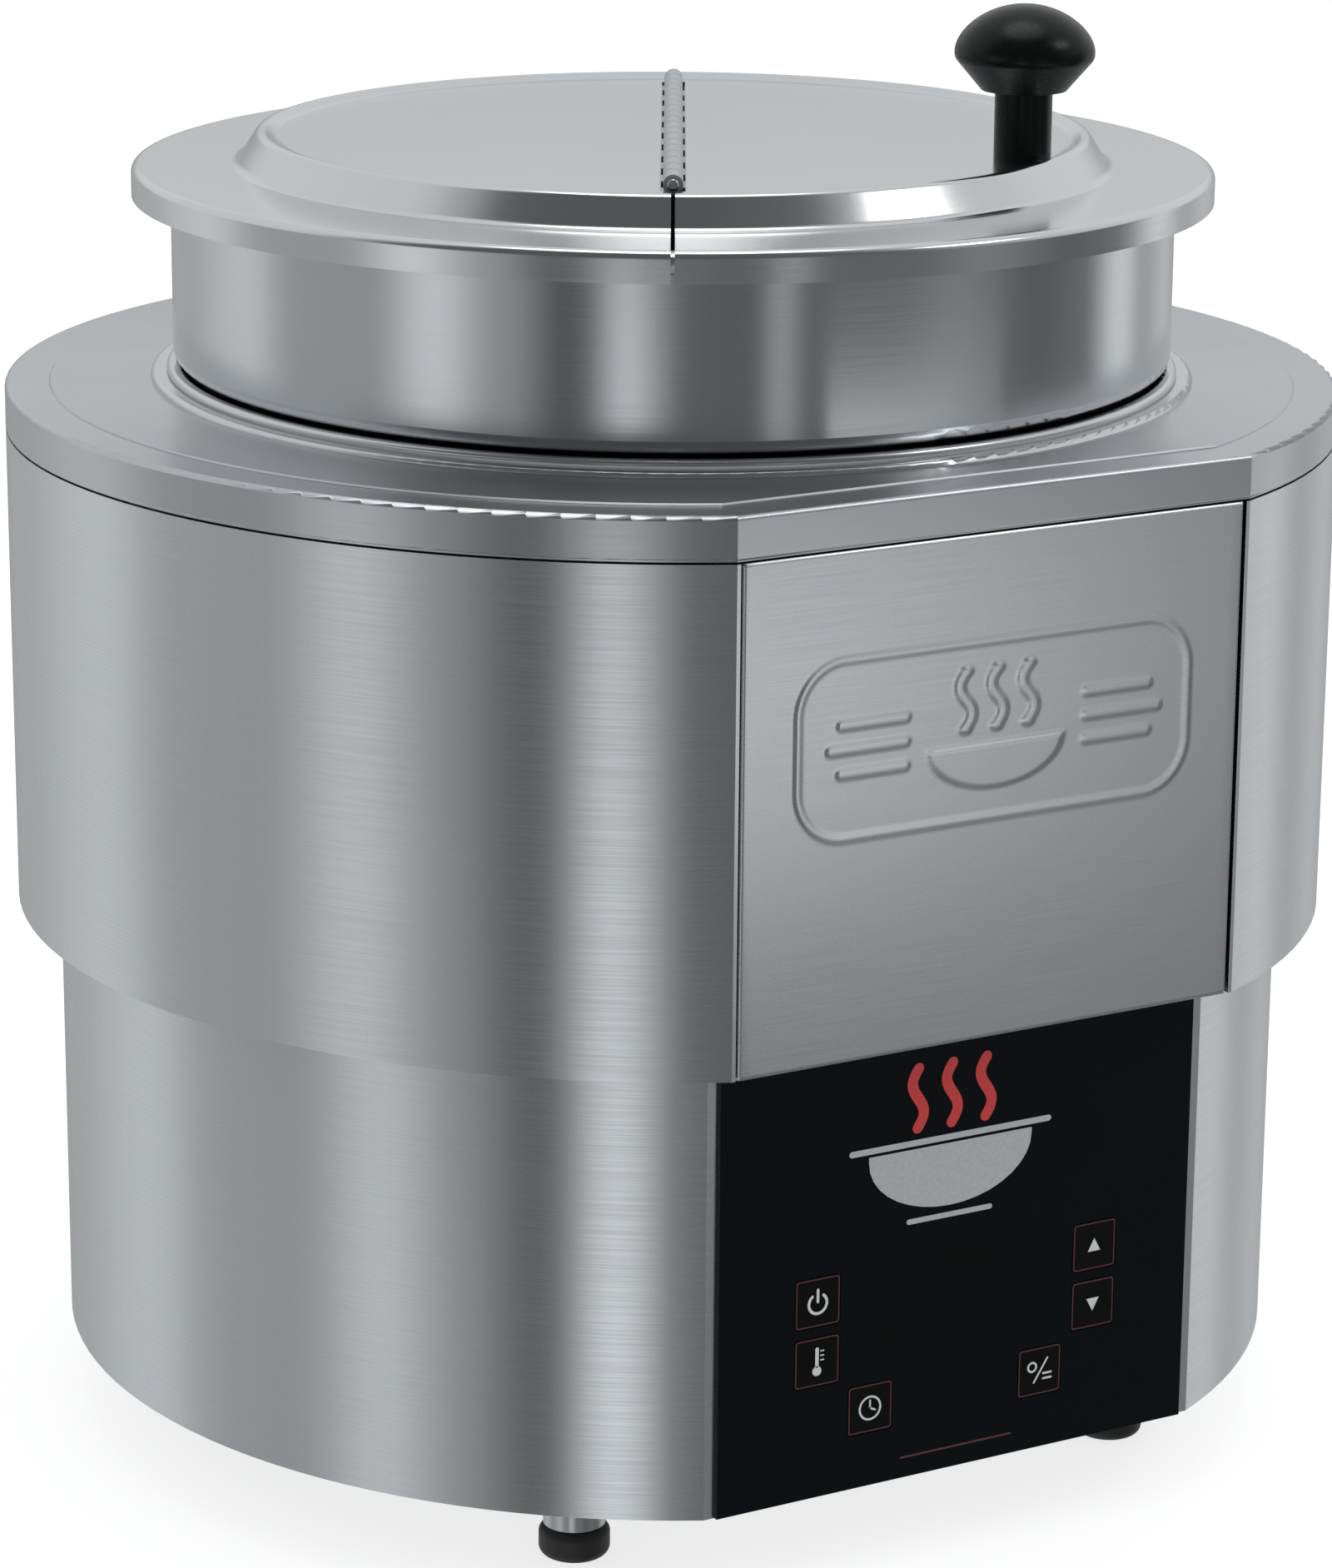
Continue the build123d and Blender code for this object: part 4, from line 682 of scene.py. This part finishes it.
class Print:
    """A piece of printing on an upright face: closed prisms of ink, drawn in x and z."""

    def __init__(self, name, inks):
        self.name = name
        self.inks = inks
        self.shape = bmesh.new()

    def _walls(self, front, back, index):
        for i in range(len(front)):
            j = (i + 1) % len(front)
            self.shape.faces.new((front[i], back[i], back[j], front[j])).material_index = index

    def _loop(self, outline):
        front = [self.shape.verts.new((x, OVERLAY_FACE - PRINT_LIFT, z)) for x, z in outline]
        back = [self.shape.verts.new((x, OVERLAY_FACE + PRINT_ROOT, z)) for x, z in outline]
        return front, back

    def fill(self, outline, index=0):
        """A filled outline, given anticlockwise as seen from the front."""
        front, back = self._loop(outline)
        self.shape.faces.new(front).material_index = index
        self.shape.faces.new(back[::-1]).material_index = index
        self._walls(front, back, index)

    def ring(self, outer, inner, index=0):
        """The band between two outlines with the same number of points."""
        front, back = self._loop(outer)
        inner_front, inner_back = self._loop(inner)
        for i in range(len(front)):
            j = (i + 1) % len(front)
            near = (front[i], front[j], inner_front[j], inner_front[i])
            far = (back[j], back[i], inner_back[i], inner_back[j])
            self.shape.faces.new(near).material_index = index
            self.shape.faces.new(far).material_index = index
        self._walls(front, back, index)
        self._walls(inner_front[::-1], inner_back[::-1], index)

    def stroke(self, points, width, index=0):
        """A line with round ends along open points."""
        left, right = [], []
        for i, point in enumerate(points):
            before = points[max(i - 1, 0)]
            after = points[min(i + 1, len(points) - 1)]
            length = math.dist(before, after)
            across = (-(after[1] - before[1]) / length, (after[0] - before[0]) / length)
            left.append((point[0] + across[0] * width / 2, point[1] + across[1] * width / 2))
            right.append((point[0] - across[0] * width / 2, point[1] - across[1] * width / 2))
        end_cap = round_cap(points[-1], right[-1])
        start_cap = round_cap(points[0], left[0])
        self.fill(right + end_cap + left[::-1] + start_cap, index)

    def finish(self, body):
        """Makes the object, which moves with its body."""
        bmesh.ops.recalc_face_normals(self.shape, faces=self.shape.faces)
        mesh = bpy.data.meshes.new(self.name)
        self.shape.to_mesh(mesh)
        self.shape.free()
        piece = bpy.data.objects.new(self.name, mesh)
        bpy.context.scene.collection.objects.link(piece)
        for material in self.inks:
            mesh.materials.append(material)
        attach(piece, body)


def round_cap(centre, start, steps=6):
    """Points of a half circle about a stroke's end, anticlockwise from a start point."""
    reach_x, reach_z = start[0] - centre[0], start[1] - centre[1]
    points = []
    for i in range(1, steps):
        angle = math.pi * i / steps
        points.append((centre[0] + reach_x * math.cos(angle) - reach_z * math.sin(angle),
                       centre[1] + reach_x * math.sin(angle) + reach_z * math.cos(angle)))
    return points


def arc_points(centre, radius, start, end, steps=24):
    angles = [math.radians(start + (end - start) * i / steps) for i in range(steps + 1)]
    return [(centre[0] + radius * math.cos(a), centre[1] + radius * math.sin(a)) for a in angles]


def rounded_square(centre, half, corner, steps=4):
    points = []
    for quarter in range(4):
        turn = 90 * quarter
        sign_x = 1 if quarter in (0, 3) else -1
        sign_z = 1 if quarter in (0, 1) else -1
        middle = (centre[0] + sign_x * (half - corner), centre[1] + sign_z * (half - corner))
        points += arc_points(middle, corner, turn, turn + 90, steps)
    return points


def wave_points(centre, bottom, top, sway, steps=24):
    points = []
    for i in range(steps + 1):
        z = bottom + (top - bottom) * i / steps
        points.append((centre + sway * math.sin(2 * math.pi * i / steps), z))
    return points


ICON_LINE = 0.75 * MM
FRAME_LINE = 0.3 * MM            # the thin frame round a key
FRAME_INSET = 0.25 * MM
FRAME_CORNERS = (0.8 * MM, 0.6 * MM)


def draw_power(sheet, x, z):
    sheet.stroke(arc_points((x, z - 0.3 * MM), 2.6 * MM, 128, 412), ICON_LINE)
    sheet.stroke([(x, z + 0.2 * MM), (x, z + 3.3 * MM)], ICON_LINE)


def draw_temperature(sheet, x, z):
    sheet.stroke([(x, z - 1.0 * MM), (x, z + 3.4 * MM)], 1.0 * MM)
    sheet.fill(arc_points((x, z - 2.4 * MM), 1.3 * MM, 0, 345, 23))
    for level in (0.4, 1.6, 2.8):
        sheet.stroke([(x + 1.1 * MM, z + level * MM), (x + 1.9 * MM, z + level * MM)], 0.35 * MM)


def draw_timer(sheet, x, z):
    outer = arc_points((x, z), 3.3 * MM, 0, 350, 35)
    inner = arc_points((x, z), 2.75 * MM, 0, 350, 35)
    sheet.ring(outer, inner)
    sheet.stroke([(x, z + 2.0 * MM), (x, z)], 0.5 * MM)
    sheet.stroke([(x, z), (x + 1.5 * MM, z - 0.7 * MM)], 0.5 * MM)


def draw_mode(sheet, x, z):
    outer = arc_points((x - 2.2 * MM, z + 1.3 * MM), 1.5 * MM, 0, 350, 29)
    inner = arc_points((x - 2.2 * MM, z + 1.3 * MM), 0.95 * MM, 0, 350, 29)
    sheet.ring(outer, inner)
    sheet.stroke([(x - 1.6 * MM, z - 3.0 * MM), (x + 2.4 * MM, z + 3.2 * MM)], 0.5 * MM)
    for level in (-0.9, -2.3):
        sheet.stroke([(x + 1.2 * MM, z + level * MM), (x + 3.6 * MM, z + level * MM)], 0.55 * MM)


def draw_up(sheet, x, z):
    sheet.fill([(x - 1.9 * MM, z - 1.5 * MM), (x + 1.9 * MM, z - 1.5 * MM), (x, z + 2.0 * MM)])


def draw_down(sheet, x, z):
    sheet.fill([(x, z - 2.0 * MM), (x + 1.9 * MM, z + 1.5 * MM), (x - 1.9 * MM, z + 1.5 * MM)])


SIGNS = {
    "key_power": draw_power,
    "key_temperature": draw_temperature,
    "key_timer": draw_timer,
    "key_mode": draw_mode,
    "key_up": draw_up,
    "key_down": draw_down,
}


def print_keys():
    """Each key's sign and the thin outline round it."""
    for key, draw in SIGNS.items():
        low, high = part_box(key)
        x, z = (low.x + high.x) / 2, (low.z + high.z) / 2
        sheet = Print(key + "_print", [WHITE_INK, LINE_INK])
        draw(sheet, x, z)
        half = (high.x - low.x) / 2 - FRAME_INSET
        outer_corner, inner_corner = FRAME_CORNERS
        sheet.ring(rounded_square((x, z), half, outer_corner),
                   rounded_square((x, z), half - FRAME_LINE, inner_corner), 1)
        sheet.finish(key)


EMBLEM_MIDDLE = -3 * MM
EMBLEM_RIM = 113 * MM            # height of the bowl's rim above the floor
EMBLEM_BOWL_HALF = 24 * MM
EMBLEM_BOWL_WALL = 1.5 * MM      # the rim's upright part
EMBLEM_BOWL_DEPTH = 15 * MM
BRIM_HALF, BRIM_RISE, BRIM_LINE = 29 * MM, 1.6 * MM, 1.6 * MM
STAND_HALF, STAND_Z, STAND_LINE = 12 * MM, 94 * MM, 1.4 * MM
WISP_CENTRES = (-10 * MM, 0.0, 10 * MM)
WISP_BOTTOM, WISP_TOP = 118.5 * MM, 134 * MM
WISP_SWAY, WISP_LINE = 1.7 * MM, 3.0 * MM
RULE_LEFT, RULE_RIGHT, RULE_Z, RULE_LINE = -16 * MM, 17 * MM, 31 * MM, 0.5 * MM


def print_emblem():
    """A silver bowl under three red wisps of steam, and a thin line low on the panel."""
    sheet = Print("overlay_print", [SILVER_INK, RED_INK, LINE_INK])
    left, right = EMBLEM_MIDDLE - EMBLEM_BOWL_HALF, EMBLEM_MIDDLE + EMBLEM_BOWL_HALF
    shoulder = EMBLEM_RIM - EMBLEM_BOWL_WALL
    bowl = [(left, EMBLEM_RIM), (left, shoulder)]
    for degrees in range(190, 351, 10):
        angle = math.radians(degrees)
        bowl.append((EMBLEM_MIDDLE + EMBLEM_BOWL_HALF * math.cos(angle),
                     shoulder + EMBLEM_BOWL_DEPTH * math.sin(angle)))
    bowl += [(right, shoulder), (right, EMBLEM_RIM)]
    sheet.fill(bowl)
    brim = EMBLEM_RIM + BRIM_RISE
    sheet.stroke([(EMBLEM_MIDDLE - BRIM_HALF, brim), (EMBLEM_MIDDLE + BRIM_HALF, brim)], BRIM_LINE)
    sheet.stroke([(EMBLEM_MIDDLE - STAND_HALF, STAND_Z), (EMBLEM_MIDDLE + STAND_HALF, STAND_Z)], STAND_LINE)
    for centre in WISP_CENTRES:
        wisp = wave_points(EMBLEM_MIDDLE + centre, WISP_BOTTOM, WISP_TOP, WISP_SWAY)
        sheet.stroke(wisp, WISP_LINE, 1)
    sheet.stroke([(RULE_LEFT, RULE_Z), (RULE_RIGHT, RULE_Z)], RULE_LINE, 2)
    sheet.finish("housing")


# --- making ---------------------------------------------------------------------------------------
make_camera()
make_studio()
paint_frame()
make_front_panel()
make_hem()
print_keys()
print_emblem()
